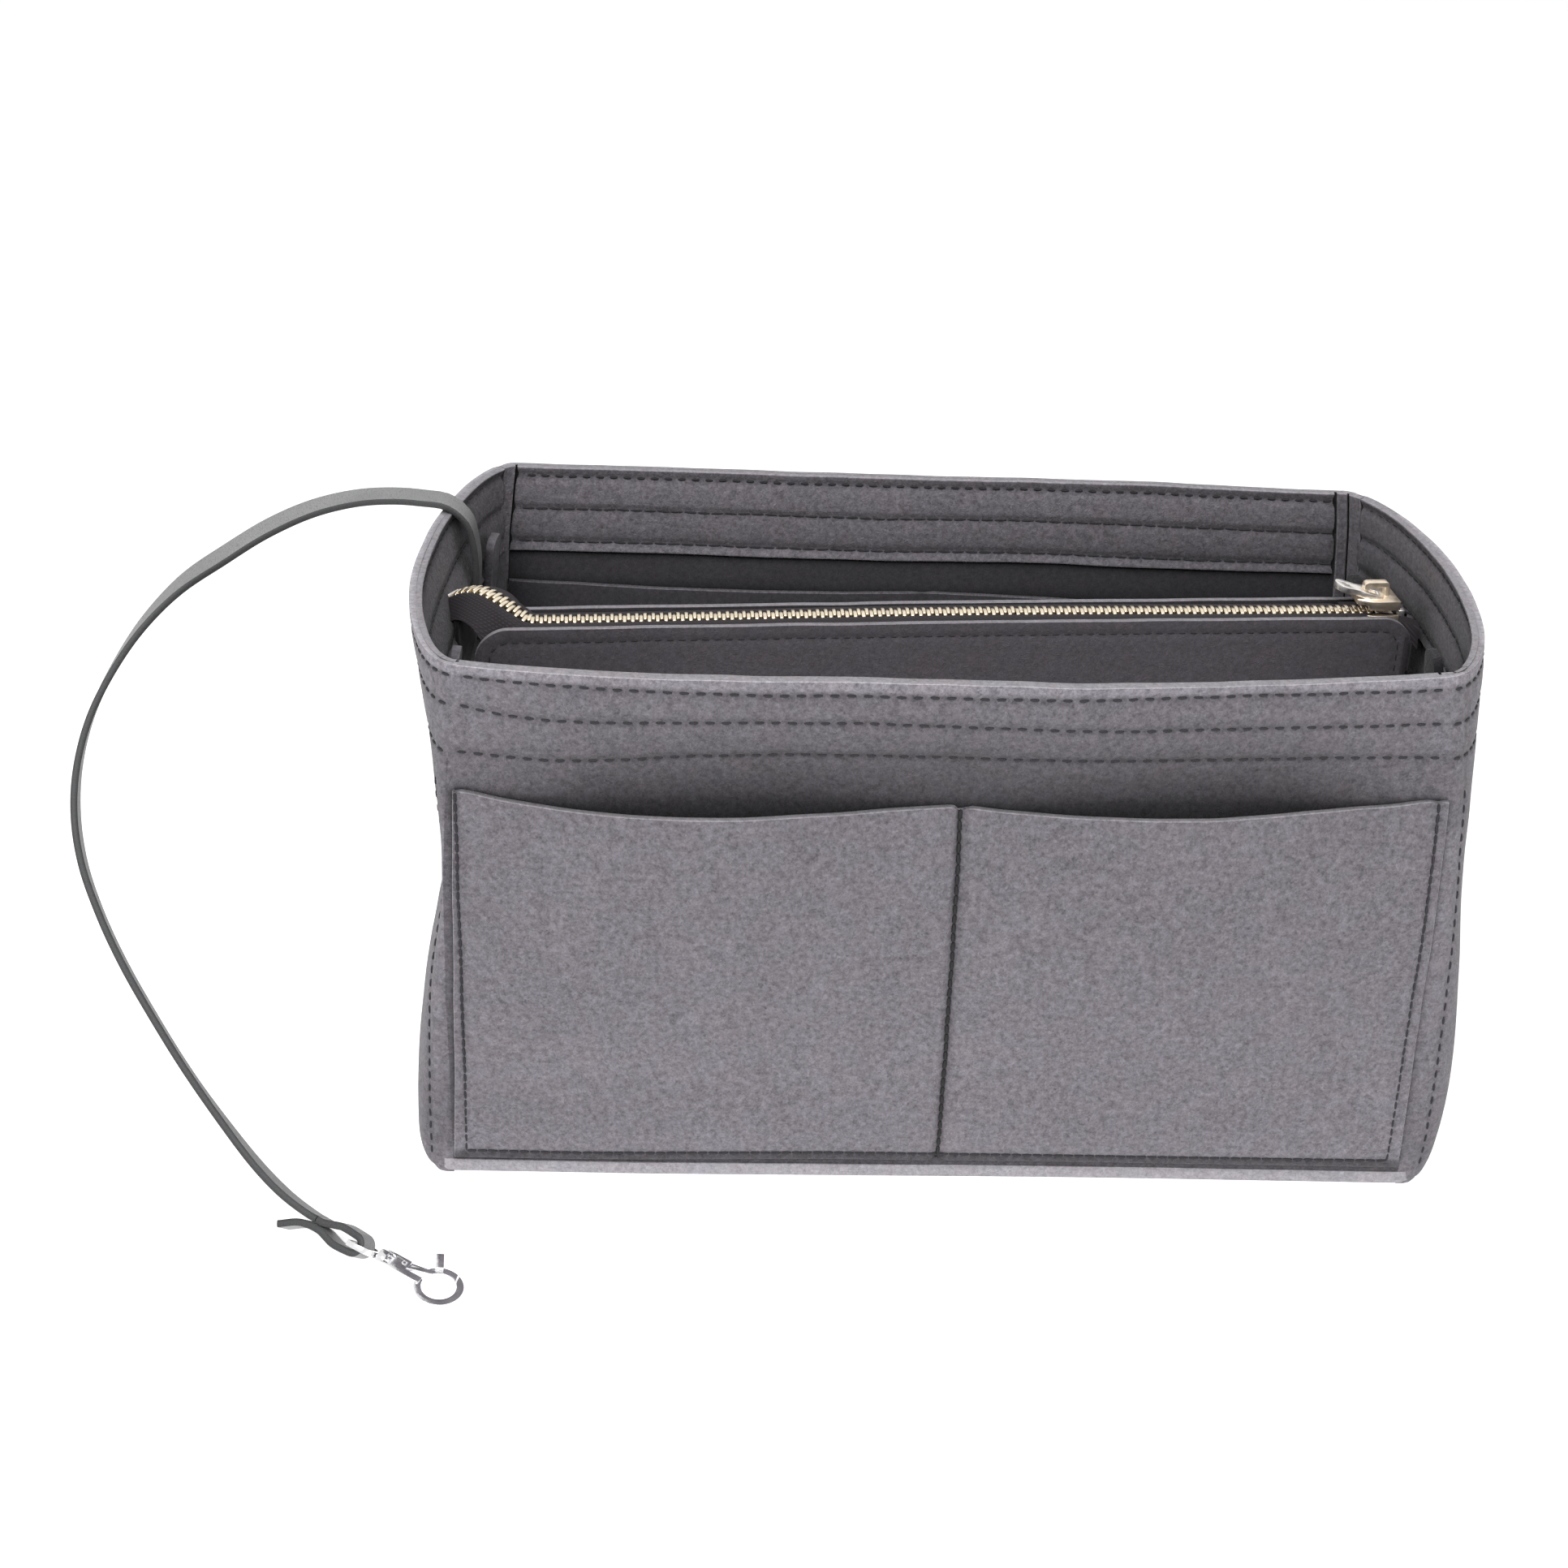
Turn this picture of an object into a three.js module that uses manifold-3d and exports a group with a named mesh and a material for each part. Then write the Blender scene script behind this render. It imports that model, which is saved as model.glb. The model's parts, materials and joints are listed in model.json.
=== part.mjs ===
// Felt handbag organiser with a zipped middle pouch and a key leash.
// Millimetres, +Z up. The origin is on the table, under the middle of the felt body.
// Front is -Y. The leash and its clasp lie on the table to the left and in front.

import * as THREE from 'three';
import { mergeVertices } from 'three/addons/utils/BufferGeometryUtils.js';
import Module from 'manifold-3d';

const wasm = await Module();
wasm.setup();

// Felt body
const bagHeight = 163;
const wallDepth = 150; // over the outer faces of the front and back walls
const wallWidthBase = 276;
const wallWidthRim = 260;
const endBulgeRim = 20.5; // how far an end panel swells past the wall edges at the rim
const endBulgeShares = [0.47, 0.56, 0.4, 0.41, 0.68, 1]; // from base to rim, evenly spaced
const endRoundnessBase = 4; // superellipse power of an end panel's plan
const endRoundnessRim = 1.9;
const frontBow = 4;
const backBow = 1.5;
const feltThickness = 2;
const seamGap = 0.3; // between sewn layers
const seamFlange = 8; // end panel folded behind the wall edge
const hemHeight = 31.6;
const trayHeight = 4.6; // of its front and back lips
const trayCornerRadius = 3;
const trayCornerMargin = 0.6; // its corners stay this far inside the wall edges
const endRoll = 9; // the ends turn under the base with this radius
const trayEdgeRounding = 1.2;

// Pockets
const outerPocketWidth = 265;
const outerPocketFoot = 7;
const outerPocketBelowRim = 35; // at its side edges
const outerPocketSeamDrop = 4.3; // from the side edges to the middle seam
const outerPocketSag = 5;
const innerPocketBelowHem = 7;
const innerPocketSeamDrop = 2;
const innerPocketSag = 3;
const innerPocketFoot = 4; // above the tray floor
const pocketEase = 2; // spare felt that holds the mouths open

// Cinch tabs on the end panels
const tabWidth = 12;
const tabHeight = 46;
const tabThickness = 2.6;
const tabBelowRim = 15;
const tabFrontInset = 43; // from the front wall
const tabBackInset = 22; // from the back wall
const tabLean = 6; // degrees
const tabCornerRadius = 4;
const snapFromTop = 22;
const snapCapRadius = 4.4;
const snapCapThickness = 0.8;
const snapShankRadius = 1.2;
const snapStudRadius = 2;
const snapStudLength = 1.8;
const snapSocketRadius = 3.4;
const snapClearance = 0.3;

// Zip pouch
const pouchYaw = 4.6; // degrees, the left end stands nearer the front
const pouchCentreX = 2.2;
const pouchCentreY = 5;
const pouchLength = 273;
const pouchFoot = 22;
const pouchBelowRim = 17.5;
const pouchCornerRadius = 12;
const pouchFootRadius = 8;
const pouchInnerDepth = 12; // width of the strip between the two panels
const pouchStripDrop = 9; // the strip ends this far below the panel tops
const tapeThickness = 0.6;
const tapeLegHeight = 13;
const tapeLegEndShare = 0.75; // of that height, where it ends on the chain's tail
const tapeLegTailShare = 0.68; // of the tail has the leg
const tapeEndMargin = 2.6; // from the last straight tooth to the ear of the pouch
const tapeTailLength = 6; // past the slider at the closed end

// Zip chain and slider
const chainBelowPouch = 1;
const chainStart = -119.5; // along the pouch, from its middle
const chainEnd = 130;
const toothPitch = 2.4;
const toothThickness = 0.9;
const toothHeight = 2.2;
const toothReach = 0.6; // past the middle line
const beadInner = 1.9;
const beadOuter = 2.9;
const chainTailLength = 23.5;
const chainTailDrift = 14.2;
const chainTailRise = 5.6;
const chainTailAlongShares = [0, 0.16, 0.38, 0.62, 0.84, 1];
const chainTailDriftShares = [0, 0.02, 0.2, 0.53, 0.82, 1];
const chainTailRiseShares = [0, 0.2, 0.67, 0.98, 0.8, 0.38];
const stopLength = 2;
const stopHeight = 2.8;
const sliderLength = 10.4;
const sliderWidth = 9.6;
const sliderNoseShare = 0.62; // width of the narrow end over that of the wide end
const sliderPlate = 1;
const sliderRoom = 0.4; // between the teeth and the plates
const sliderSlot = 1.2;
const sliderFlange = 0.9;
const wedgeStart = 0.5; // from the slider's middle
const wedgeLength = 3.4;
const wedgeWidth = 2;
const bridgeLength = 6.4;
const bridgeWidth = 2.2;
const bridgeWire = 1.1;
const bridgeRoom = 1.9;
const pullLength = 13;
const pullWidth = 6.2;
const pullThickness = 1.2;
const pullWindowLength = 4.2;
const pullWindowWidth = 3;
const pullLift = 12; // degrees, as it stands on the bridge
const pullHoleRadius = 1.1;

// Ears that hold the pouch to the end panels with touch fastener
const earThickness = 1.2;
const earNeckWidth = 6.4;
const earNeckTailShare = 0.3; // of the chain's tail has the left ear under it
const earPadWidth = 20;
const earPadHeight = 20;
const earPadBelowPouch = 15.5;
const earRunOut = 2.5;
const fastenerThickness = 1;
const fastenerMargin = 1.5;
const leftPadY = 7;
const rightPadY = 16;

// Key leash
const strapWidth = 8;
const strapThickness = 2;
const strapSteps = 44;
const anchorWidth = 14;
const anchorHeight = 18;
const anchorThickness = 3.6;
const anchorBelowRim = 43;
const anchorInset = 42; // from the back wall

// Route of the leash from its anchor over the rim to its end loop
const leashRoute = [
  [-140.2, 33, 127],
  [-138.9, 33.1, 136],
  [-138, 33.2, 146],
  [-138.6, 33.4, 155],
  [-140.1, 33.7, 161.6],
  [-145.8, 34.7, 167],
  [-154, 36.2, 168.2],
  [-163, 37.4, 168.6],
  [-174, 37.6, 167.8],
  [-187, 35.6, 165],
  [-200, 31, 160],
  [-212, 25, 153.2],
  [-224, 17, 144.5],
  [-234, 8.6, 135.5],
  [-241.6, -1.4, 125.2],
  [-247, -11.6, 114.2],
  [-249.2, -22, 103],
  [-248.4, -32, 92.4],
  [-245, -41.6, 82],
  [-238.8, -51.4, 71.4],
  [-231, -61, 61],
  [-221, -71.4, 49.8],
  [-210, -82, 38.6],
  [-199, -91.2, 28.4],
  [-188, -99.8, 19.4],
  [-179.5, -105, 13.6],
];

// Direction across the strap, at shares of the route before its end loop
const strapAcrossShares = [0, 0.14, 0.34, 0.5, 0.66, 0.82];
const strapAcross = [
  [0, 1, 0],
  [0, 0.99, 0.1],
  [0, 0.96, 0.28],
  [0, 0.9, -0.2],
  [0, 0.76, -0.65],
  [0, 0.73, -0.68],
];

// Swivel clasp on the end of the leash
const eyeBar = [-158.7, -116.7, 6.6]; // middle of the bar that the leash loops around
const claspHeading = -28.4; // degrees, in plan
const claspPitch = 9; // degrees, nose down
const eyeRoll = 43; // degrees, the eye turned about the clasp's own axis
const eyeInnerWidth = 9;
const eyeInnerLength = 5.4;
const eyeWire = 1.6;
const eyeRoundShare = 0.6; // of the eye's half width, the length of its round front
const stemRadius = 0.8;
const stemHeadRadius = 1.5;
const stemHeadThickness = 0.8;
const swivelGap = 0.3;
const collarRadius = 2.6;
const collarLength = 2.4;
const headRoomLength = 2;
const headRoomWidth = 3.8;
const hookThickness = 3.2;
const hookRingThickness = 2.2;
const hookRingOuter = 6.8;
const hookRingInner = 4.8;
const hookRingFromCollar = 19.6;
const hookTipAngle = 62; // degrees, on the ring
const hookRootAngle = 192;
const gateRootAngle = 150;
const hookRootLapAngle = 5; // how far the ring runs into the hook's body
const gateGap = 0.45; // between the lever's end and the hook's tip
const hookBodyWidth = 5.2;
const hookRootWidth = 2;
const pinFromCollar = 7.2;
const pinRadius = 0.6;
const pinClearance = 0.05;
const leverThickness = 1.2;
const leverSlot = 2.6;
const leverHubRadius = 1.7;
const leverWaistShare = 0.7; // of the hub
const thumbAngle = 124;
const thumbReach = 11;
const thumbWidth = 2.2;
const springWire = 0.24;
const springMeanRadius = 1.2;
const springTurns = 2;
const springPitch = 0.42;
const tailReach = 26.5;
const loopLength = 11;
const loopSpread = 2.6;
const tailSpread = 5;
const tailBendShare = 0.34; // of the spread, halfway along the tail
const loopBendShare = 0.75; // of the loop's length, where its two legs start to part
const loopBendSpreadShare = 0.72;

// Faces on round and curved work
const roundSegments = 16;
const arcSteps = 16;
const wallColumns = 10;
const rollRows = 3;
const bodyRows = 6; // below the hem
const hemRows = 2;
const bendSteps = 6;
const tailSteps = 10;

// Heights that follow from the sizes above
const hemFoot = bagHeight - hemHeight;
const outerPocketTop = bagHeight - outerPocketBelowRim;
const innerPocketTop = hemFoot - innerPocketBelowHem;
const tabFoot = bagHeight - tabBelowRim - tabHeight;
const pouchTop = bagHeight - pouchBelowRim;
const chainHeight = pouchTop - chainBelowPouch;
const earPadTop = pouchTop - earPadBelowPouch;
const anchorTop = bagHeight - anchorBelowRim;
const anchorY = wallDepth / 2 - anchorInset;
const tabFrontY = tabFrontInset - wallDepth / 2;
const tabBackY = wallDepth / 2 - tabBackInset;

// Finishes
const feltGrey = { color: 0x8b878c, roughness: 0.95, metalness: 0 };
const feltShade = { color: 0x6a666c, roughness: 0.95, metalness: 0 };
const tapeDark = { color: 0x2e2c33, roughness: 0.85, metalness: 0 };
const zipGold = { color: 0xd9b98a, roughness: 0.3, metalness: 1 };
const strapGrey = { color: 0x6c6f70, roughness: 0.6, metalness: 0 };
const claspSilver = { color: 0xc9cacb, roughness: 0.25, metalness: 1 };
const fastenerDark = { color: 0x3d3b40, roughness: 0.9, metalness: 0 };

const halfTurn = Math.PI;
const quarterTurn = Math.PI / 2;
const radians = THREE.MathUtils.degToRad;
const lerp = THREE.MathUtils.lerp;
const up = new THREE.Vector3(0, 0, 1);

// Solids

function signedVolume(geometry) {
  const place = geometry.getAttribute('position');
  const index = geometry.getIndex();
  const a = new THREE.Vector3();
  const b = new THREE.Vector3();
  const c = new THREE.Vector3();
  let total = 0;
  for (let i = 0; i < index.count; i += 3) {
    a.fromBufferAttribute(place, index.getX(i));
    b.fromBufferAttribute(place, index.getX(i + 1));
    c.fromBufferAttribute(place, index.getX(i + 2));
    total += a.dot(b.cross(c));
  }
  return total;
}

function faceOutward(geometry) {
  if (signedVolume(geometry) < 0) {
    const index = geometry.getIndex();
    for (let i = 0; i < index.count; i += 3) {
      const first = index.getX(i);
      index.setX(i, index.getX(i + 1));
      index.setX(i + 1, first);
    }
  }
  return geometry;
}

// A sheet with an outer and an inner face, both grids of columns by rows, closed along its edges
function closedSheet(columns, rows, outer, inner) {
  const points = [];
  const faces = [];
  const stride = columns + 1;
  const layer = stride * (rows + 1);
  for (const face of [outer, inner]) {
    for (let j = 0; j <= rows; j += 1) {
      for (let i = 0; i <= columns; i += 1) points.push(...face(i, j).toArray());
    }
  }
  const quad = (a, b, c, d) => faces.push(a, b, c, a, c, d);
  for (let j = 0; j < rows; j += 1) {
    for (let i = 0; i < columns; i += 1) {
      const a = j * stride + i;
      quad(a, a + 1, a + 1 + stride, a + stride);
      quad(layer + a + stride, layer + a + 1 + stride, layer + a + 1, layer + a);
    }
  }
  for (let i = 0; i < columns; i += 1) {
    const top = rows * stride + i;
    quad(i + 1, i, layer + i, layer + i + 1);
    quad(top, top + 1, layer + top + 1, layer + top);
  }
  for (let j = 0; j < rows; j += 1) {
    const start = j * stride;
    const end = start + columns;
    quad(start, start + stride, layer + start + stride, layer + start);
    quad(end + stride, end, layer + end, layer + end + stride);
  }
  const geometry = new THREE.BufferGeometry();
  geometry.setAttribute('position', new THREE.Float32BufferAttribute(points, 3));
  geometry.setIndex(faces);
  return faceOutward(geometry);
}

// A flat ribbon bent through rows, each with its middle, its side direction and its half width
function ribbon(rows, thickness) {
  const last = rows.length - 1;
  const face = (height) => (i, j) => {
    const before = rows[Math.max(j - 1, 0)].at;
    const after = rows[Math.min(j + 1, last)].at;
    const along = after.clone().sub(before).normalize();
    const normal = rows[j].side.clone().cross(along).normalize();
    const across = rows[j].half * (2 * i - 1);
    return rows[j].at.clone().addScaledVector(rows[j].side, across).addScaledVector(normal, height);
  };
  return closedSheet(1, last, face(thickness / 2), face(-thickness / 2));
}

// A toothed strip along a chain: rows of corners at the two flanks of every tooth
function comb(flanks, cornersAt) {
  const points = [];
  const faces = [];
  for (const flank of flanks) {
    for (const corner of cornersAt(flank)) points.push(...corner.toArray());
  }
  const quad = (a, b, c, d) => faces.push(a, b, c, a, c, d);
  const [outerLow, outerHigh, innerLow, innerHigh, tipLow, tipHigh] = [0, 1, 2, 3, 4, 5];
  const stride = 6;
  for (let k = 0; k < flanks.length - 1; k += 1) {
    const near = k * stride;
    const far = near + stride;
    const strip = (a, b) => quad(near + a, near + b, far + b, far + a);
    strip(outerLow, outerHigh);
    strip(outerHigh, innerHigh);
    strip(innerLow, outerLow);
    if (k % 2) {
      strip(innerHigh, innerLow);
    } else {
      strip(innerHigh, tipHigh);
      strip(tipHigh, tipLow);
      strip(tipLow, innerLow);
      quad(near + tipHigh, near + innerHigh, near + innerLow, near + tipLow);
      quad(far + tipLow, far + innerLow, far + innerHigh, far + tipHigh);
    }
  }
  const last = (flanks.length - 1) * stride;
  quad(innerLow, innerHigh, outerHigh, outerLow);
  quad(last + outerLow, last + outerHigh, last + innerHigh, last + innerLow);
  const geometry = new THREE.BufferGeometry();
  geometry.setAttribute('position', new THREE.Float32BufferAttribute(points, 3));
  geometry.setIndex(faces);
  return faceOutward(geometry);
}

function solid(geometry) {
  const bare = geometry.clone();
  bare.deleteAttribute('normal');
  bare.deleteAttribute('uv');
  const merged = mergeVertices(bare);
  return new wasm.Manifold(new wasm.Mesh({
    numProp: 3,
    vertProperties: new Float32Array(merged.getAttribute('position').array),
    triVerts: new Uint32Array(merged.getIndex().array),
  }));
}

function surface(body) {
  const mesh = body.getMesh();
  const geometry = new THREE.BufferGeometry();
  geometry.setAttribute('position', new THREE.BufferAttribute(mesh.vertProperties, 3));
  geometry.setIndex(new THREE.BufferAttribute(mesh.triVerts, 1));
  return geometry;
}

function joined(geometries) {
  return surface(geometries.map(solid).reduce((all, next) => all.add(next)));
}

function cut(geometry, tools) {
  return surface(tools.map(solid).reduce((left, tool) => left.subtract(tool), solid(geometry)));
}

function block(low, high) {
  const size = new THREE.Vector3().subVectors(high, low);
  const middle = new THREE.Vector3().addVectors(low, high).multiplyScalar(0.5);
  return new THREE.BoxGeometry(size.x, size.y, size.z).translate(...middle.toArray());
}

function blockOver(x, y, z) {
  return block(new THREE.Vector3(x[0], y[0], z[0]), new THREE.Vector3(x[1], y[1], z[1]));
}

function roundedPlate(width, height, radius, thickness) {
  const shape = new THREE.Shape();
  const x = width / 2;
  const y = height / 2;
  shape.moveTo(radius - x, -y);
  shape.absarc(x - radius, radius - y, radius, -quarterTurn, 0);
  shape.absarc(x - radius, y - radius, radius, 0, quarterTurn);
  shape.absarc(radius - x, y - radius, radius, quarterTurn, halfTurn);
  shape.absarc(radius - x, radius - y, radius, halfTurn, halfTurn + quarterTurn);
  return new THREE.ExtrudeGeometry(shape, {
    depth: thickness, bevelEnabled: false, curveSegments: bendSteps,
  });
}

function piece(name, geometry, finish) {
  const mesh = new THREE.Mesh(geometry, new THREE.MeshStandardMaterial(finish));
  mesh.name = name;
  return mesh;
}

// Plan of the body at a height

function heightShare(z) {
  return THREE.MathUtils.clamp(z / bagHeight, 0, 1);
}

function bowShare(z) {
  return Math.max(0, (z - trayHeight) / (bagHeight - trayHeight));
}

function between(shares, at) {
  const spans = shares.length - 1;
  const k = Math.min(Math.floor(at * spans), spans - 1);
  const t = at * spans - k;
  const p1 = shares[k];
  const p2 = shares[k + 1];
  const p0 = shares[Math.max(k - 1, 0)];
  const p3 = shares[Math.min(k + 2, spans)];
  const slope1 = (p2 - p0) / 2;
  const slope2 = (p3 - p1) / 2;
  const t2 = t * t;
  const t3 = t2 * t;
  return (2 * t3 - 3 * t2 + 1) * p1 + (t3 - 2 * t2 + t) * slope1
    + (3 * t2 - 2 * t3) * p2 + (t3 - t2) * slope2;
}

function wallHalfWidth(z) {
  return lerp(wallWidthBase / 2, wallWidthRim / 2, heightShare(z) ** 3);
}

function endBulge(z) {
  const under = Math.max(endRoll - z, 0);
  const rolled = endRoll - Math.sqrt(endRoll ** 2 - under ** 2);
  return endBulgeRim * between(endBulgeShares, heightShare(z)) - rolled;
}

function endPower(z) {
  return lerp(endRoundnessBase, endRoundnessRim, heightShare(z));
}

const endHalfDepth = wallDepth / 2 - feltThickness - seamGap;

// Point of a wall: side is -1 for the front and 1 for the back, inset is counted from the outer face
function wallPoint(side, x, z, inset) {
  const bow = side < 0 ? frontBow : backBow;
  const across = x / wallHalfWidth(z);
  const y = wallDepth / 2 + bow * bowShare(z) * (1 - across * across) - inset;
  return new THREE.Vector3(x, side * y, z);
}

// Point of an end panel: side is -1 for the left and 1 for the right, turn runs over the half round
function endPoint(side, turn, z, inset) {
  const power = 2 / endPower(z);
  const y = (endHalfDepth - inset) * Math.sign(Math.sin(turn)) * Math.abs(Math.sin(turn)) ** power;
  const swell = (endBulge(z) - inset) * Math.max(Math.cos(turn), 0) ** power;
  return new THREE.Vector3(side * (wallHalfWidth(z) + swell), y, z);
}

// Place on an end panel's inner side, with the direction across it and the direction into the bag
function endSeat(side, y, z, inset) {
  const depth = endHalfDepth - inset;
  const swell = endBulge(z) - inset;
  const power = endPower(z);
  const share = Math.abs(y) / depth;
  const rest = 1 - share ** power;
  const x = wallHalfWidth(z) + swell * rest ** (1 / power);
  const slope = -Math.sign(y) * (swell / depth) * rest ** (1 / power - 1) * share ** (power - 1);
  const across = new THREE.Vector3(side * slope, 1, 0).normalize();
  const inward = new THREE.Vector3(-side * across.y, side * across.x, 0);
  return { at: new THREE.Vector3(side * x, y, z), across, inward };
}

// Felt body

// The base reaches out under the end panels, and a lip along its front and back stands outside the walls
function baseTray() {
  const halfX = wallWidthBase / 2 - trayCornerMargin;
  const halfY = wallDepth / 2 + seamGap + feltThickness;
  const outer = roundedPlate(2 * halfX, 2 * halfY, trayCornerRadius, trayHeight);
  const hollow = blockOver([-2 * halfX, 2 * halfX],
    [feltThickness - halfY, halfY - feltThickness], [feltThickness, 2 * trayHeight]);
  const place = outer.getAttribute('position');
  for (let i = 0; i < place.count; i += 1) {
    if (place.getZ(i) < feltThickness) {
      place.setX(i, place.getX(i) * (1 - trayEdgeRounding / halfX));
      place.setY(i, place.getY(i) * (1 - trayEdgeRounding / halfY));
    }
  }
  const face = (z) => (i, j) => endPoint(2 * j - 1, halfTurn * i / arcSteps - quarterTurn, z, 0);
  const floor = closedSheet(arcSteps, 1, face(0), face(feltThickness));
  return piece('base_tray', joined([cut(outer, [hollow]), floor]), feltGrey);
}

// Heights of the rows of the body, which the hems share
function rowHeight(j) {
  if (j > bodyRows) return lerp(hemFoot, bagHeight, (j - bodyRows) / hemRows);
  return lerp(feltThickness + seamGap, hemFoot, j / bodyRows);
}

const allRows = bodyRows + hemRows;

// The end panels have more rows at their foot, where they turn under the base
function panelRowHeight(j) {
  if (j < rollRows) return lerp(feltThickness + seamGap, endRoll, j / rollRows);
  if (j > rollRows + bodyRows) return rowHeight(j - rollRows);
  return lerp(endRoll, hemFoot, (j - rollRows) / bodyRows);
}

function wall(name, side) {
  const face = (inset) => (i, j) => {
    const z = rowHeight(j);
    const x = wallHalfWidth(z) * (2 * i / wallColumns - 1);
    return wallPoint(side, x, z, inset);
  };
  return piece(name, closedSheet(wallColumns, allRows, face(0), face(feltThickness)), feltGrey);
}

function endPanel(name, side) {
  const face = (inset) => (i, j) => {
    const step = THREE.MathUtils.clamp(i - 1, 0, arcSteps);
    const point = endPoint(side, halfTurn * step / arcSteps - quarterTurn, panelRowHeight(j), inset);
    if (step !== i - 1) point.x -= side * seamFlange;
    return point;
  };
  const rows = rollRows + allRows;
  return piece(name, closedSheet(arcSteps + 2, rows, face(0), face(feltThickness)), feltGrey);
}

function wallHem(name, side) {
  const near = feltThickness + seamGap;
  const face = (inset) => (i, j) => {
    const z = rowHeight(bodyRows + j);
    const x = (wallHalfWidth(z) - seamFlange - seamGap) * (2 * i / wallColumns - 1);
    return wallPoint(side, x, z, inset);
  };
  return piece(name, closedSheet(wallColumns, hemRows, face(near), face(near + feltThickness)), feltGrey);
}

function endHem(name, side) {
  const near = feltThickness + seamGap;
  const face = (inset) => (i, j) => {
    const turn = halfTurn * i / arcSteps - quarterTurn;
    return endPoint(side, turn, rowHeight(bodyRows + j), inset);
  };
  return piece(name, closedSheet(arcSteps, hemRows, face(near), face(near + feltThickness)), feltGrey);
}

// A panel sewn to a wall along its sides, foot and middle, whose two mouths sag and stand open
function pocket(name, side, halfWidthAt, foot, edgeTop, seamDrop, sag, inset, outward) {
  const columns = 16;
  const rows = 5;
  const face = (depth) => (i, j) => {
    const share = 2 * i / columns - 1;
    const s = Math.abs(share);
    const top = edgeTop - seamDrop * (1 - s) - 4 * sag * s * (1 - s);
    const v = j / rows;
    const z = lerp(foot, top, v);
    const ease = pocketEase * Math.sin(halfTurn * s) ** 2 * v * v;
    return wallPoint(side, share * halfWidthAt(z), z, depth - outward * ease);
  };
  return piece(name, closedSheet(columns, rows, face(inset), face(inset + feltThickness)), feltGrey);
}

function outerPocket(name, side) {
  const half = () => outerPocketWidth / 2;
  const inset = -(seamGap + feltThickness);
  return pocket(name, side, half, outerPocketFoot,
    outerPocketTop, outerPocketSeamDrop, outerPocketSag, inset, 1);
}

function innerPocket(name, side) {
  const half = (z) => wallHalfWidth(z) - seamFlange - seamGap;
  return pocket(name, side, half, feltThickness + innerPocketFoot,
    innerPocketTop, innerPocketSeamDrop, innerPocketSag, feltThickness + seamGap, -1);
}

// Cinch tabs

function snapHalf(name, isStud) {
  const shank = tabThickness / 2 + snapClearance;
  const capOuter = shank + snapCapThickness;
  const far = isStud ? snapStudRadius : snapSocketRadius;
  const reach = isStud ? snapStudLength : snapCapThickness;
  const profile = [
    [0, -capOuter], [snapCapRadius, -capOuter], [snapCapRadius, -shank], [snapShankRadius, -shank],
    [snapShankRadius, shank], [far, shank], [far, shank + reach], [0, shank + reach],
  ];
  const lathe = new THREE.LatheGeometry(profile.map((p) => new THREE.Vector2(...p)), roundSegments);
  return piece(name, lathe.rotateZ(-quarterTurn), claspSilver);
}

function cinchTab(name, side, y, isStud) {
  const seat = endSeat(side, y, tabFoot, feltThickness);
  const strip = roundedPlate(tabWidth, tabHeight, tabCornerRadius, tabThickness);
  const hole = new THREE.CylinderGeometry(
    snapShankRadius + snapClearance, snapShankRadius + snapClearance, 3 * tabThickness, roundSegments,
  ).rotateX(quarterTurn).translate(0, tabHeight / 2 - snapFromTop, tabThickness / 2);
  const cloth = cut(strip, [hole]);
  // Local X runs into the bag, local Y across the panel and local Z up the tab
  cloth.applyMatrix4(new THREE.Matrix4().makeBasis(
    new THREE.Vector3(0, 1, 0), new THREE.Vector3(0, 0, 1), new THREE.Vector3(1, 0, 0),
  )).translate(0, 0, tabHeight / 2);
  const snap = snapHalf(`${name}_snap`, isStud);
  snap.position.set(tabThickness / 2, 0, tabHeight - snapFromTop);
  const leaning = new THREE.Group();
  leaning.rotation.y = radians(tabLean);
  leaning.add(piece(name, cloth, feltGrey), snap);
  const group = new THREE.Group();
  group.applyMatrix4(new THREE.Matrix4().makeBasis(
    seat.inward, new THREE.Vector3().crossVectors(up, seat.inward), up,
  ));
  group.position.copy(seat.at).addScaledVector(seat.inward, seamGap);
  group.add(leaning);
  return group;
}

// Zip pouch, in its own frame: X along the chain, Y across it

const pouchFrame = new THREE.Matrix4().makeRotationZ(radians(pouchYaw))
  .setPosition(pouchCentreX, pouchCentreY, 0);

function pouchPanel(name, side) {
  const near = pouchInnerDepth / 2 + seamGap;
  const half = pouchLength / 2;
  const shape = new THREE.Shape();
  shape.moveTo(pouchFootRadius - half, pouchFoot);
  shape.absarc(half - pouchFootRadius, pouchFoot + pouchFootRadius, pouchFootRadius, -quarterTurn, 0);
  shape.absarc(half - pouchCornerRadius, pouchTop - pouchCornerRadius, pouchCornerRadius, 0, quarterTurn);
  shape.absarc(pouchCornerRadius - half, pouchTop - pouchCornerRadius, pouchCornerRadius,
    quarterTurn, halfTurn);
  shape.absarc(pouchFootRadius - half, pouchFoot + pouchFootRadius, pouchFootRadius,
    halfTurn, halfTurn + quarterTurn);
  const cloth = new THREE.ExtrudeGeometry(shape, {
    depth: feltThickness, bevelEnabled: false, curveSegments: bendSteps,
  });
  cloth.rotateX(quarterTurn).translate(0, side < 0 ? -near : near + feltThickness, 0);
  return piece(name, cloth, feltShade);
}

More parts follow.
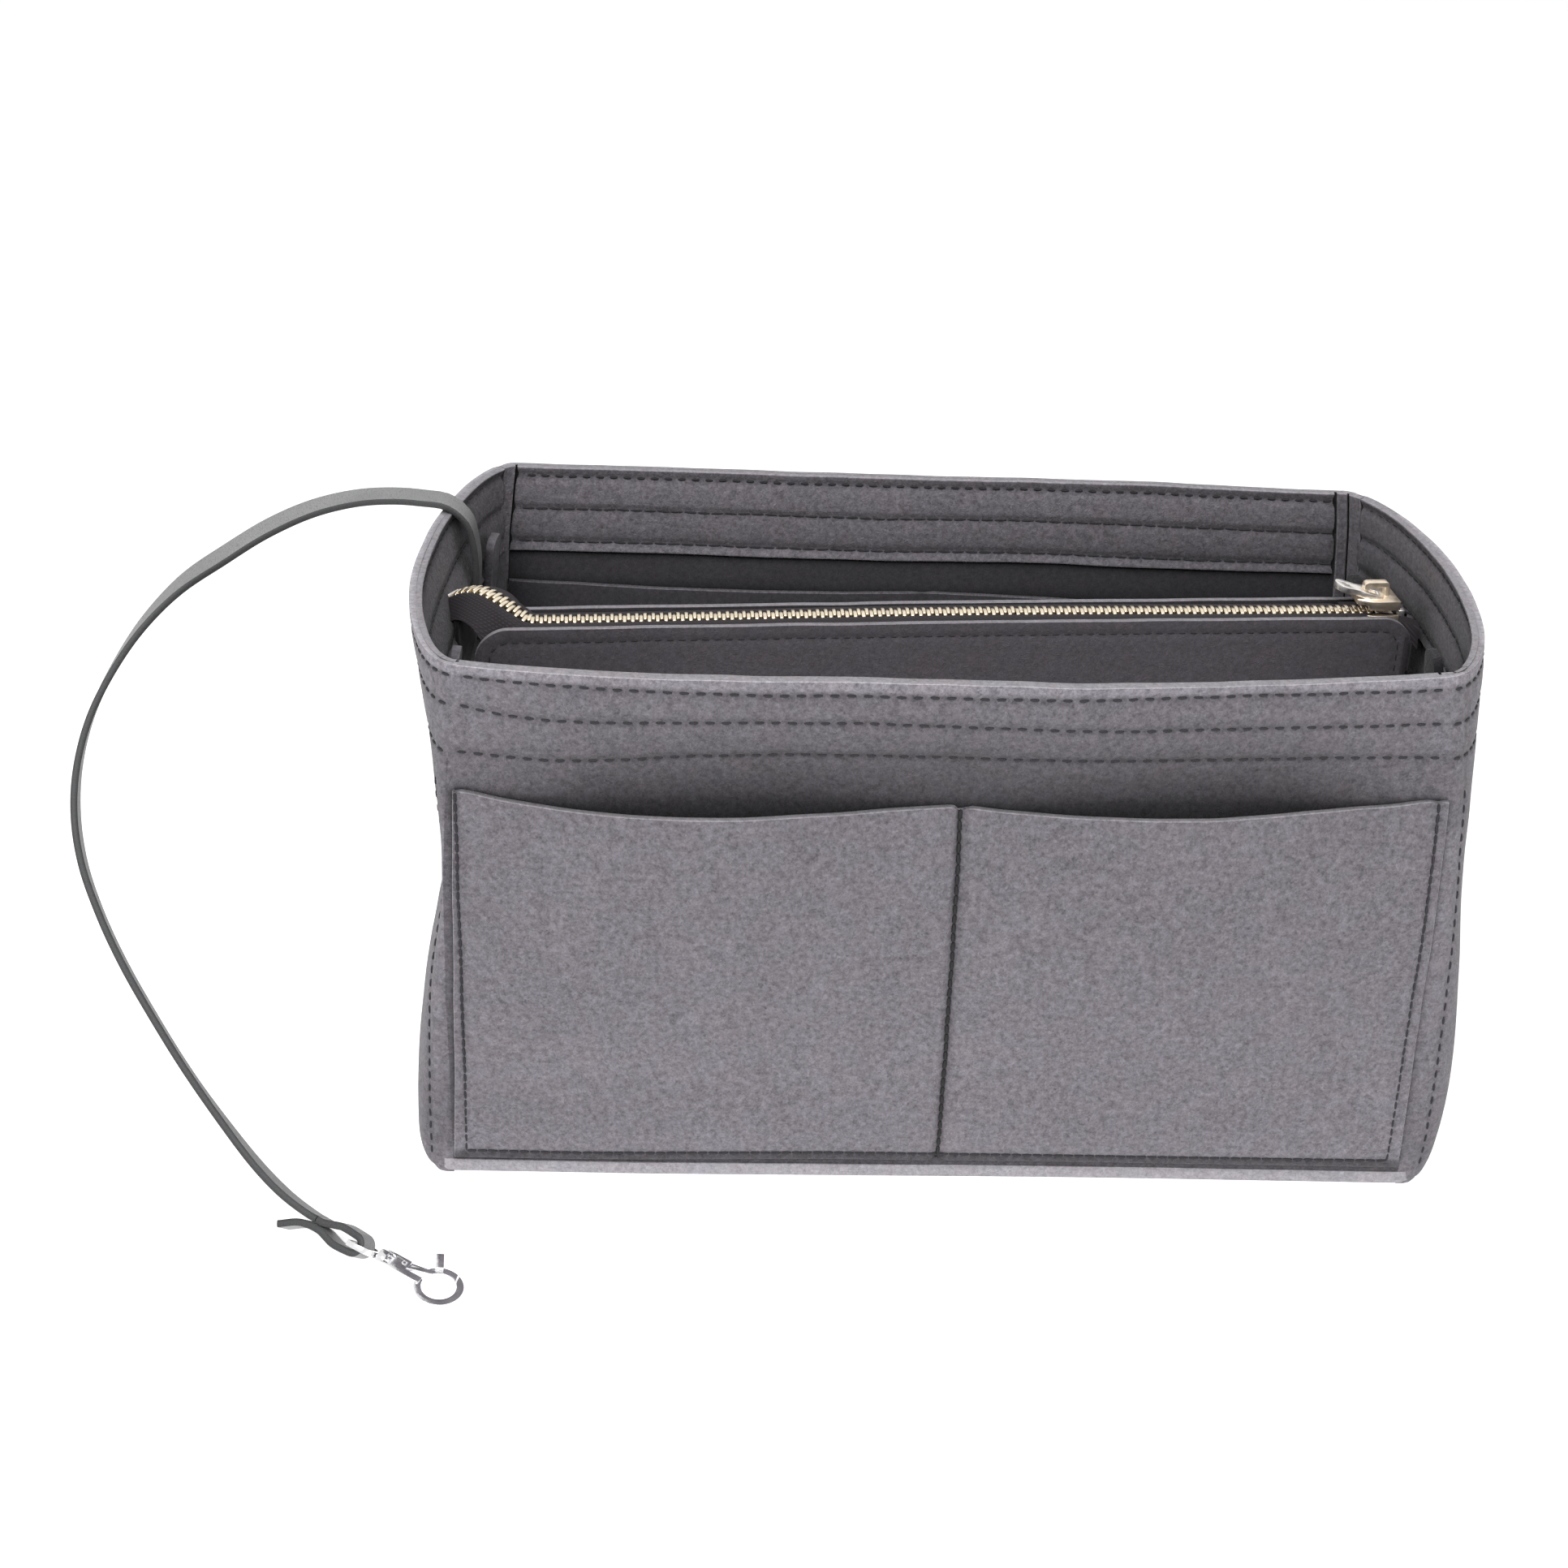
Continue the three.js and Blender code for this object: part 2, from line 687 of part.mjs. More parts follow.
function pouchStrip() {
  const half = pouchLength / 2;
  const top = pouchTop - pouchStripDrop;
  const shape = new THREE.Shape();
  const inner = half - feltThickness;
  const innerRadius = pouchFootRadius - feltThickness;
  shape.moveTo(-half, top);
  shape.lineTo(-half, pouchFoot + pouchFootRadius);
  shape.absarc(pouchFootRadius - half, pouchFoot + pouchFootRadius, pouchFootRadius,
    halfTurn, halfTurn + quarterTurn);
  shape.absarc(half - pouchFootRadius, pouchFoot + pouchFootRadius, pouchFootRadius, -quarterTurn, 0);
  shape.lineTo(half, top);
  shape.lineTo(inner, top);
  shape.absarc(half - pouchFootRadius, pouchFoot + pouchFootRadius, innerRadius, 0, -quarterTurn, true);
  shape.absarc(pouchFootRadius - half, pouchFoot + pouchFootRadius, innerRadius,
    -quarterTurn, -halfTurn, true);
  shape.lineTo(-inner, top);
  const cloth = new THREE.ExtrudeGeometry(shape, {
    depth: pouchInnerDepth, bevelEnabled: false, curveSegments: bendSteps,
  });
  cloth.rotateX(quarterTurn).translate(0, pouchInnerDepth / 2, 0);
  return piece('pouch_strip', cloth, feltShade);
}

// The chain runs straight along the pouch and its left tail lifts and turns back
const chainTail = new THREE.CatmullRomCurve3(chainTailAlongShares.map((share, i) => new THREE.Vector3(
  chainStart - share * chainTailLength,
  chainTailDriftShares[i] * chainTailDrift,
  chainHeight + chainTailRiseShares[i] * chainTailRise,
)));
const chainTailReach = chainTail.getLength();

// Frame on the chain at a distance from its closed end
function chainFrame(distance) {
  const straight = chainEnd - chainStart;
  const frame = new THREE.Matrix4();
  if (distance <= straight) return frame.setPosition(chainEnd - distance, 0, chainHeight);
  const share = Math.min((distance - straight) / chainTailReach, 1);
  const along = chainTail.getTangentAt(share).negate();
  const side = new THREE.Vector3().crossVectors(up, along).normalize();
  const lift = new THREE.Vector3().crossVectors(along, side);
  return frame.makeBasis(along, side, lift).setPosition(chainTail.getPointAt(share));
}

const chainLength = chainEnd - chainStart + chainTailReach;

function zipTeeth(name, side) {
  const offset = side < 0 ? 0 : toothPitch / 2;
  const count = Math.floor((chainLength - offset - toothThickness) / toothPitch);
  const flanks = [];
  for (let k = 0; k <= count; k += 1) {
    const start = offset + k * toothPitch;
    flanks.push(start, start + toothThickness);
  }
  const cornersAt = (distance) => {
    const frame = chainFrame(distance);
    return [beadOuter, beadInner, -toothReach].flatMap((y) => [-1, 1].map(
      (z) => new THREE.Vector3(0, side * y, z * toothHeight / 2).applyMatrix4(frame),
    ));
  };
  return piece(name, comb(flanks, cornersAt), zipGold);
}

const sliderCentre = chainEnd + seamGap;
const sliderRight = sliderCentre + sliderLength / 2;

// A flat strip of tape beside the teeth and a leg down inside the pouch. The front leg follows the tail
function zipTape(name, side) {
  const near = beadOuter + seamGap;
  const far = pouchInnerDepth / 2;
  const half = tapeThickness / 2;
  const straight = chainEnd - chainStart;
  const flatFar = side < 0 ? far : far - 2 * seamGap - tapeThickness;
  const tailStops = Array.from({ length: tailSteps + 1 }, (_, k) => straight + chainTailReach * k / tailSteps);
  const sweep = (stops, corners) => {
    const face = (part) => (i, j) => {
      const [y, z] = corners(Math.max(stops[j] - straight, 0) / chainTailReach)[2 * part + i];
      return new THREE.Vector3(0, side * y, z).applyMatrix4(chainFrame(stops[j]));
    };
    return closedSheet(1, stops.length - 1, face(0), face(1));
  };
  const flat = sweep([chainEnd - sliderRight - tapeTailLength, straight - tapeEndMargin, ...tailStops],
    (share) => {
      const edge = lerp(far, flatFar, Math.min(1, share * tailSteps));
      return [[near, half], [edge, half], [near, -half], [edge, -half]];
    });
  const legStops = [sliderLength + tapeEndMargin, straight - tapeEndMargin];
  const legTail = tailStops.map((stop) => lerp(straight, stop, tapeLegTailShare));
  const leg = sweep(side < 0 ? [...legStops, ...legTail] : legStops, (share) => {
    const low = -tapeLegHeight * lerp(1, tapeLegEndShare, share / tapeLegTailShare);
    return [[far, half], [far, low], [far - tapeThickness, half], [far - tapeThickness, low]];
  });
  return piece(name, joined([flat, leg]), tapeDark);
}

function topStop(name, side) {
  const left = sliderRight + seamGap;
  const near = side * (beadOuter + seamGap / 2);
  const far = side * beadInner / 2;
  return piece(name, blockOver(
    [left, left + stopLength], [Math.min(near, far), Math.max(near, far)],
    [chainHeight - stopHeight / 2, chainHeight + stopHeight / 2],
  ), zipGold);
}

function bottomStop() {
  const clip = blockOver([-stopLength / 2, stopLength / 2], [-beadOuter, beadOuter],
    [-stopHeight / 2, stopHeight / 2]);
  const end = chainFrame(chainLength);
  const clear = new THREE.Matrix4().makeTranslation(-(stopLength / 2 + seamGap), 0, 0);
  return piece('zip_bottom_stop', clip.applyMatrix4(clear).applyMatrix4(end), zipGold);
}

// Slider, in its own frame with the chain's middle as the origin

const plateInner = toothHeight / 2 + sliderRoom;
const plateOuter = plateInner + sliderPlate;
const pullAxisHeight = plateOuter + seamGap + pullThickness / 2;

function sliderOutline() {
  const half = sliderLength / 2;
  const wide = sliderWidth / 2;
  const nose = wide * sliderNoseShare;
  const shape = new THREE.Shape();
  shape.moveTo(-half, -nose);
  shape.quadraticCurveTo(-half / 2, -wide, 0, -wide);
  shape.lineTo(half, -wide);
  shape.lineTo(half, wide);
  shape.lineTo(0, wide);
  shape.quadraticCurveTo(-half / 2, wide, -half, nose);
  return shape;
}

function sliderBody() {
  const half = sliderLength / 2;
  const whole = new THREE.ExtrudeGeometry(sliderOutline(), {
    depth: 2 * plateOuter, bevelEnabled: false, curveSegments: bendSteps,
  }).translate(0, 0, -plateOuter);
  const past = sliderLength;
  const chainWay = blockOver([-past, past],
    [sliderFlange - sliderWidth / 2, sliderWidth / 2 - sliderFlange], [-plateInner, plateInner]);
  const tapeWay = blockOver([-past, past], [-sliderWidth, sliderWidth], [-sliderSlot / 2, sliderSlot / 2]);
  const noseWay = blockOver([-past, -half / 2], [-sliderWidth, sliderWidth], [-plateInner, plateInner]);
  const shell = cut(whole, [chainWay, tapeWay, noseWay]);
  const wedgeShape = new THREE.Shape();
  wedgeShape.moveTo(wedgeStart, 0);
  wedgeShape.lineTo(wedgeStart + wedgeLength / 2, -wedgeWidth / 2);
  wedgeShape.lineTo(wedgeStart + wedgeLength, 0);
  wedgeShape.lineTo(wedgeStart + wedgeLength / 2, wedgeWidth / 2);
  const wedge = new THREE.ExtrudeGeometry(wedgeShape, { depth: 2 * plateOuter, bevelEnabled: false })
    .translate(0, 0, -plateOuter);
  const bridgeShape = new THREE.Shape();
  const reach = bridgeLength / 2;
  const top = plateOuter + bridgeRoom + bridgeWire;
  const foot = plateOuter - sliderPlate / 2;
  bridgeShape.moveTo(-reach, foot);
  bridgeShape.lineTo(bridgeWire - reach, foot);
  bridgeShape.lineTo(bridgeWire - reach, top - bridgeWire);
  bridgeShape.lineTo(reach - bridgeWire, top - bridgeWire);
  bridgeShape.lineTo(reach - bridgeWire, foot);
  bridgeShape.lineTo(reach, foot);
  bridgeShape.lineTo(reach, top - bridgeWire);
  bridgeShape.quadraticCurveTo(reach, top, reach - bridgeWire, top);
  bridgeShape.lineTo(bridgeWire - reach, top);
  bridgeShape.quadraticCurveTo(-reach, top, -reach, top - bridgeWire);
  const bridge = new THREE.ExtrudeGeometry(bridgeShape, {
    depth: bridgeWidth, bevelEnabled: false, curveSegments: bendSteps,
  }).rotateX(quarterTurn).translate(0, bridgeWidth / 2, 0);
  return piece('zip_slider', joined([shell, wedge, bridge]), zipGold);
}

function pullTab() {
  const bar = pullThickness / 2;
  const wide = pullWidth / 2;
  const shape = new THREE.Shape();
  shape.moveTo(0, -wide);
  shape.lineTo(0, wide);
  shape.lineTo(-pullWindowLength - bar, wide);
  shape.quadraticCurveTo(-pullLength / 2, wide * sliderNoseShare, wide - pullLength, wide);
  shape.absarc(wide - pullLength, 0, wide, quarterTurn, halfTurn + quarterTurn);
  shape.quadraticCurveTo(-pullLength / 2, -wide * sliderNoseShare, -pullWindowLength - bar, -wide);
  const plate = new THREE.ExtrudeGeometry(shape, {
    depth: pullThickness, bevelEnabled: false, curveSegments: bendSteps,
  }).translate(0, 0, -bar);
  const round = new THREE.CylinderGeometry(bar, bar, pullWidth, roundSegments);
  const window = blockOver([-pullWindowLength - bar, -bar],
    [-pullWindowWidth / 2, pullWindowWidth / 2], [-pullThickness, pullThickness]);
  const hole = new THREE.CylinderGeometry(pullHoleRadius, pullHoleRadius, 2 * pullThickness, roundSegments)
    .rotateX(quarterTurn).translate(wide - pullLength, 0, 0);
  const barWindow = blockOver([-bar, 0], [-pullWindowWidth / 2, pullWindowWidth / 2],
    [-pullThickness, pullThickness]);
  const arms = cut(plate, [window, barWindow, hole]);
  const tab = piece('zip_pull', joined([arms, round]), zipGold);
  tab.rotation.y = radians(pullLift);
  tab.position.set(0, 0, pullAxisHeight);
  return tab;
}

// Ears and touch fastener

function pouchEar(name, side, padY, neck) {
  const legInset = feltThickness + 3 * seamGap + 2 * fastenerThickness;
  const foot = earPadTop - earPadHeight;
  const seat = (z, inset) => endSeat(side, padY, z, inset);
  const across = seat(foot, feltThickness).across;
  const thick = earThickness / 2;
  const legX = Math.min(
    ...[foot, earPadTop].map((z) => Math.abs(seat(z, legInset + thick).at.x)),
  );
  const rows = neck.map((row) => ({ ...row, half: row.half ?? earNeckWidth / 2 }));
  const last = rows[rows.length - 1];
  const bendTop = last.at.z;
  const bendStart = new THREE.Vector3(side * (legX - earRunOut), padY, bendTop);
  for (let k = 0; k <= bendSteps; k += 1) {
    const turn = quarterTurn * k / bendSteps;
    rows.push({
      at: bendStart.clone().add(new THREE.Vector3(
        side * earRunOut * Math.sin(turn), 0, -earRunOut * (1 - Math.cos(turn)),
      )),
      side: across,
      half: lerp(last.half, earPadWidth / 2, k / bendSteps),
    });
  }
  rows.push({ at: new THREE.Vector3(side * legX, padY, foot), side: across, half: earPadWidth / 2 });
  const pads = [];
  const low = foot + fastenerMargin;
  const high = earPadTop - fastenerMargin;
  const halfPad = earPadWidth / 2 - fastenerMargin;
  const hookX = legX + thick + seamGap;
  const padRows = (x) => [low, high].map((z) => ({
    at: new THREE.Vector3(side * x, padY, z), side: across, half: halfPad,
  }));
  pads.push(ribbon(padRows(hookX + fastenerThickness / 2), fastenerThickness));
  pads.push(ribbon(padRows(hookX + fastenerThickness * 1.5 + seamGap), fastenerThickness));
  return {
    ear: piece(name, ribbon(rows, earThickness), feltShade),
    hookPad: piece(`${name}_hook_pad`, pads[0], fastenerDark),
    loopPad: piece(`${name}_loop_pad`, pads[1], fastenerDark),
  };
}

function pouchPoint(x, y, z) {
  return new THREE.Vector3(x, y, z).applyMatrix4(pouchFrame);
}

const pouchAcross = new THREE.Vector3(0, 1, 0).transformDirection(pouchFrame);
const underChain = toothHeight / 2 + 2 * seamGap + earThickness / 2;

function leftEar() {
  const neck = [];
  const steps = 8;
  for (let k = 1; k <= steps; k += 1) {
    const frame = chainFrame(chainEnd - chainStart + earNeckTailShare * chainTailReach * k / steps);
    const at = new THREE.Vector3(0, 0, -underChain).applyMatrix4(frame);
    const across = new THREE.Vector3().setFromMatrixColumn(frame, 1);
    neck.push({ at: at.applyMatrix4(pouchFrame), side: across.transformDirection(pouchFrame) });
  }
  neck.unshift({
    at: pouchPoint(chainStart, 0, chainHeight - underChain), side: pouchAcross,
  });
  return pouchEar('pouch_ear_left', -1, leftPadY, neck);
}

function rightEar() {
  const drop = plateOuter + seamGap + earThickness / 2;
  const z = chainHeight - drop;
  const start = chainEnd - sliderLength - tapeEndMargin + seamGap;
  const neck = [start, pouchLength / 2 - earRunOut].map((x) => ({
    at: pouchPoint(x, 0, z), side: pouchAcross.clone().negate(),
  }));
  const ear = pouchEar('pouch_ear_right', 1, rightPadY, neck);
  return ear;
}

// Leash

function leashAnchor() {
  const columns = 4;
  const rows = 3;
  const near = feltThickness + 2 * seamGap;
  const face = (inset) => (i, j) => endSeat(-1, anchorY + anchorWidth * (i / columns - 1 / 2),
    anchorTop - anchorHeight * (1 - j / rows), inset).at;
  const patch = closedSheet(columns, rows, face(near), face(near + anchorThickness));
  const exit = endSeat(-1, anchorY, anchorTop, near + anchorThickness / 2).at;
  exit.z += seamGap;
  return { mesh: piece('leash_anchor', patch, strapGrey), exit };
}

const anchor = leashAnchor();

const claspFrame = new THREE.Matrix4().makeRotationZ(radians(claspHeading))
  .multiply(new THREE.Matrix4().makeRotationY(radians(claspPitch)))
  .setPosition(...eyeBar);
const eyeFrame = claspFrame.clone().multiply(new THREE.Matrix4().makeRotationX(-radians(eyeRoll)));

// The end loop, in the eye's frame: X towards the hook, Z square to the strap's face
const loopTurnRadius = eyeWire * Math.SQRT1_2 + seamGap + strapThickness / 2;
const loopJoin = new THREE.Vector3(-loopLength - strapThickness, 0, strapThickness / 2 + seamGap / 2);

function leashLoop() {
  const spread = Math.max(loopSpread, loopTurnRadius);
  const places = [
    [-tailReach, -tailSpread], [-(tailReach + loopLength) / 2, -tailSpread * tailBendShare],
    [-loopLength, -strapThickness / 2 - seamGap / 2],
    [-loopLength * loopBendShare, -spread * loopBendSpreadShare],
    [-loopLength / 2, -spread],
  ];
  const rows = places.map(([x, z]) => new THREE.Vector3(x, 0, z));
  const turns = 8;
  for (let k = 0; k <= turns; k += 1) {
    const turn = -quarterTurn + halfTurn * k / turns;
    rows.push(new THREE.Vector3(loopTurnRadius * Math.cos(turn), 0, loopTurnRadius * Math.sin(turn)));
  }
  rows.push(
    new THREE.Vector3(-loopLength / 2, 0, spread),
    new THREE.Vector3(-loopLength * loopBendShare, 0, spread * loopBendSpreadShare),
    new THREE.Vector3(-loopLength, 0, loopJoin.z),
    loopJoin.clone(),
  );
  const path = rows.map((at) => ({ at, side: new THREE.Vector3(0, 1, 0), half: strapWidth / 2 }));
  return piece('leash_loop', ribbon(path, strapThickness).applyMatrix4(eyeFrame), strapGrey);
}

function leashStrap() {
  const join = loopJoin.clone().applyMatrix4(eyeFrame);
  const away = new THREE.Vector3(-1, 0, 0).transformDirection(eyeFrame);
  const end = join.addScaledVector(away, seamGap);
  const lead = end.clone().addScaledVector(away, strapThickness);
  const route = new THREE.CatmullRomCurve3([
    anchor.exit, ...leashRoute.map((p) => new THREE.Vector3(...p)), lead, end,
  ]);
  const shares = [...strapAcrossShares, 1];
  const across = [
    ...strapAcross.map((d) => new THREE.Vector3(...d)),
    new THREE.Vector3(0, 1, 0).transformDirection(eyeFrame),
  ];
  const rows = [];
  for (let k = 0; k <= strapSteps; k += 1) {
    const share = k / strapSteps;
    const next = Math.max(1, shares.findIndex((at) => at >= share));
    const mix = (share - shares[next - 1]) / (shares[next] - shares[next - 1]);
    const tangent = route.getTangentAt(share);
    const side = across[next - 1].clone().lerp(across[next], THREE.MathUtils.smoothstep(mix, 0, 1));
    side.addScaledVector(tangent, -side.dot(tangent)).normalize();
    rows.push({ at: route.getPointAt(share), side, half: strapWidth / 2 });
  }
  return piece('leash_strap', ribbon(rows, strapThickness), strapGrey);
}

// Swivel clasp, in its own frame: X from the eye to the hook, Z square to the hook

const eyeFront = eyeInnerLength + eyeWire / 2;
const collarStart = eyeFront + eyeWire / 2 + swivelGap;

function claspEye() {
  const halfIn = eyeInnerWidth / 2;
  const shape = new THREE.Shape();
  const back = -eyeWire / 2;
  const outerRadius = halfIn + eyeWire;
  const front = eyeFront + eyeWire / 2;
  const round = front - outerRadius * eyeRoundShare;
  shape.moveTo(back, -outerRadius);
  shape.lineTo(round, -outerRadius);
  shape.absellipse(round, 0, front - round, outerRadius, -quarterTurn, quarterTurn);
  shape.lineTo(back, outerRadius);
  const window = new THREE.Path();
  const inFront = front - eyeWire;
  window.moveTo(back + eyeWire, -halfIn);
  window.lineTo(back + eyeWire, halfIn);
  window.lineTo(round, halfIn);
  window.absellipse(round, 0, inFront - round, halfIn, quarterTurn, -quarterTurn, true);
  shape.holes.push(window);
  const ring = new THREE.ExtrudeGeometry(shape, {
    depth: eyeWire, bevelEnabled: false, curveSegments: roundSegments / 2,
  }).translate(0, 0, -eyeWire / 2);
  const stemLength = eyeWire / 2 + swivelGap + collarLength + swivelGap;
  const stemReach = stemLength + stemHeadThickness;
  const stem = new THREE.CylinderGeometry(stemRadius, stemRadius, stemReach, roundSegments)
    .rotateZ(quarterTurn).translate(eyeFront + stemReach / 2, 0, 0);
  const head = new THREE.CylinderGeometry(stemHeadRadius, stemHeadRadius, stemHeadThickness, roundSegments)
    .rotateZ(quarterTurn).translate(eyeFront + stemLength + stemHeadThickness / 2, 0, 0);
  return piece('clasp_eye', joined([ring, stem, head]), claspSilver);
}

const ringCentre = collarStart + hookRingFromCollar;
const pinX = collarStart + pinFromCollar;
const pinY = hookBodyWidth / 2 - leverHubRadius;

const ringFromPin = new THREE.Vector2(ringCentre - pinX, -pinY);
const ringMiddle = (hookRingOuter + hookRingInner) / 2;
const tipReach = new THREE.Vector2(ringMiddle, 0)
  .rotateAround(new THREE.Vector2(), radians(hookTipAngle)).add(ringFromPin).length();

// Where a circle of the ring is as far from the lever's pin as the reach: the gate's end and the hook's
// tip both follow such circles, so that the gate swings in past the tip
function angleAtReach(radius, reach) {
  const offset = ringFromPin.length();
  const along = (reach ** 2 - offset ** 2 - radius ** 2) / (2 * radius * offset);
  return ringFromPin.angle() - 2 * halfTurn + Math.acos(along);
}

function hookRing() {
  const root = radians(hookRootAngle - hookRootLapAngle);
  const shape = new THREE.Shape();
  shape.absarc(0, 0, hookRingOuter, root, angleAtReach(hookRingOuter, tipReach) + 2 * halfTurn, false);
  shape.absarc(0, 0, hookRingInner, angleAtReach(hookRingInner, tipReach) + 2 * halfTurn, root, true);
  return new THREE.ExtrudeGeometry(shape, {
    depth: hookRingThickness, bevelEnabled: false, curveSegments: roundSegments,
  }).translate(ringCentre, 0, -hookRingThickness / 2);
}

function claspHook() {
  const collar = new THREE.CylinderGeometry(collarRadius, collarRadius, collarLength, roundSegments)
    .rotateZ(quarterTurn).translate(collarStart + collarLength / 2, 0, 0);
  const half = hookBodyWidth / 2;
  const bodyStart = collarStart + collarLength / 2;
  const shape = new THREE.Shape();
  const meet = ringCentre + hookRingOuter * Math.cos(radians(hookRootAngle));
  shape.moveTo(bodyStart, -half);
  shape.lineTo(pinX, -half);
  shape.quadraticCurveTo((pinX + meet) / 2, -half, meet + eyeWire, -half);
  shape.lineTo(meet + eyeWire, hookRootWidth - half);
  shape.lineTo(pinX + leverHubRadius, hookRootWidth - half);
  shape.lineTo(pinX + leverHubRadius, half);
  shape.lineTo(bodyStart, half);
  const body = new THREE.ExtrudeGeometry(shape, {
    depth: hookThickness, bevelEnabled: false, curveSegments: bendSteps,
  }).translate(0, 0, -hookThickness / 2);
  const past = hookThickness;
  const bore = new THREE.CylinderGeometry(
    stemRadius + swivelGap, stemRadius + swivelGap, 3 * collarLength, roundSegments,
  ).rotateZ(quarterTurn).translate(collarStart, 0, 0);
  const headRoomStart = collarStart + collarLength;
  const headRoom = blockOver([headRoomStart, headRoomStart + headRoomLength],
    [-headRoomWidth / 2, headRoomWidth / 2], [-past, past]);
  const leverRoom = blockOver(
    [pinX - leverHubRadius - seamGap, pinX + 2 * leverHubRadius],
    [pinY - leverHubRadius - seamGap, 2 * half], [-leverSlot / 2, leverSlot / 2],
  );
  const pinHole = new THREE.CylinderGeometry(
    pinRadius + pinClearance, pinRadius + pinClearance, 2 * past, roundSegments,
  ).rotateX(quarterTurn).translate(pinX, pinY, 0);
  return piece('clasp_hook',
    cut(joined([collar, body, hookRing()]), [bore, headRoom, leverRoom, pinHole]), claspSilver);
}

const leverTop = leverSlot / 2 - seamGap / 2;

function claspLever() {
  const low = leverTop - leverThickness;
  const gateReach = tipReach - gateGap;
  const place = (angle, radius) => new THREE.Vector2(
    ringCentre + radius * Math.cos(radians(angle)), radius * Math.sin(radians(angle)),
  );
  const arm = new THREE.Shape();
  const inner = place(gateRootAngle, hookRingInner);
  const outer = place(gateRootAngle, hookRingOuter);
  arm.moveTo(pinX, pinY - leverHubRadius * leverWaistShare);
  arm.lineTo(inner.x, inner.y);
  arm.absarc(ringCentre, 0, hookRingInner, radians(gateRootAngle),
    angleAtReach(hookRingInner, gateReach), true);
  arm.absarc(ringCentre, 0, hookRingOuter, angleAtReach(hookRingOuter, gateReach),
    radians(gateRootAngle), false);
  arm.lineTo(outer.x, outer.y);
  arm.lineTo(pinX, pinY + leverHubRadius * leverWaistShare);
  const plate = new THREE.ExtrudeGeometry(arm, {
    depth: leverThickness, bevelEnabled: false, curveSegments: roundSegments / 2,
  }).translate(0, 0, low);
  const hub = new THREE.CylinderGeometry(leverHubRadius, leverHubRadius, leverThickness, roundSegments)
    .rotateX(quarterTurn).translate(pinX, pinY, low + leverThickness / 2);
  const thumb = blockOver([ringMiddle, thumbReach], [-thumbWidth / 2, thumbWidth / 2],
    [low, leverTop + leverThickness])
    .rotateZ(radians(thumbAngle)).translate(ringCentre, 0, 0);
  const pinHole = new THREE.CylinderGeometry(
    pinRadius + pinClearance, pinRadius + pinClearance, 4 * leverThickness, roundSegments,
  ).rotateX(quarterTurn).translate(pinX, pinY, 0);
  return piece('clasp_lever', cut(joined([plate, hub, thumb]), [pinHole]), claspSilver);
}

function leverPin() {
  const pin = new THREE.CylinderGeometry(pinRadius, pinRadius, hookThickness, roundSegments);
  return piece('clasp_lever_pin', pin.rotateX(quarterTurn).translate(pinX, pinY, 0), claspSilver);
}

function leverSpring() {
  const low = -leverSlot / 2 + seamGap / 2 + springWire / 2;
  class Coil extends THREE.Curve {
    getPoint(t, target = new THREE.Vector3()) {
      const turn = 2 * halfTurn * springTurns * t;
      return target.set(
        pinX + springMeanRadius * Math.cos(turn),
        pinY + springMeanRadius * Math.sin(turn),
        low + springPitch * springTurns * t,
      );
    }
  }
  const section = new THREE.Shape();
  const sides = 5;
  for (let k = 0; k < sides; k += 1) {
    const turn = 2 * halfTurn * k / sides;
    const x = springWire / 2 * Math.cos(turn);
    const y = springWire / 2 * Math.sin(turn);
    if (k) section.lineTo(x, y);
    else section.moveTo(x, y);
  }
  const coil = new THREE.ExtrudeGeometry(section, { steps: 8 * springTurns, extrudePath: new Coil() });
  return piece('clasp_lever_spring', coil, claspSilver);
}

// Assembly

const bag = new THREE.Group();

bag.add(
  baseTray(),
  wall('front_wall', -1),
  wall('back_wall', 1),
  endPanel('left_end_panel', -1),
  endPanel('right_end_panel', 1),
  wallHem('front_hem', -1),
  wallHem('back_hem', 1),
  endHem('left_hem', -1),
  endHem('right_hem', 1),
  outerPocket('front_outer_pocket', -1),
  outerPocket('back_outer_pocket', 1),
  innerPocket('front_inner_pocket', -1),
  innerPocket('back_inner_pocket', 1),
);

for (const [side, word] of [[-1, 'left'], [1, 'right']]) {
  bag.add(
    cinchTab(`${word}_front_tab`, side, tabFrontY, true),
    cinchTab(`${word}_back_tab`, side, tabBackY, false),
  );
}

const pouch = new THREE.Group();
pouch.applyMatrix4(pouchFrame);
const slider = new THREE.Group();
slider.position.set(sliderCentre, 0, chainHeight);
slider.add(sliderBody(), pullTab());
pouch.add(
  pouchPanel('pouch_front_panel', -1),
  pouchPanel('pouch_back_panel', 1),
  pouchStrip(),
  zipTape('zip_front_tape', -1),
  zipTape('zip_back_tape', 1),
  zipTeeth('zip_front_teeth', -1),
  zipTeeth('zip_back_teeth', 1),
  topStop('zip_front_top_stop', -1),
  topStop('zip_back_top_stop', 1),
  bottomStop(),
  slider,
);
bag.add(pouch);

for (const part of [leftEar(), rightEar()]) bag.add(part.ear, part.hookPad, part.loopPad);

bag.add(anchor.mesh, leashStrap(), leashLoop());

const eye = claspEye();
eye.applyMatrix4(eyeFrame);
const clasp = new THREE.Group();
clasp.applyMatrix4(claspFrame);
clasp.add(claspHook(), claspLever(), leverPin(), leverSpring());
bag.add(eye, clasp);

export default bag;
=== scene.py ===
import json
import math
import bpy
import numpy as np
from mathutils import Matrix, Vector, noise

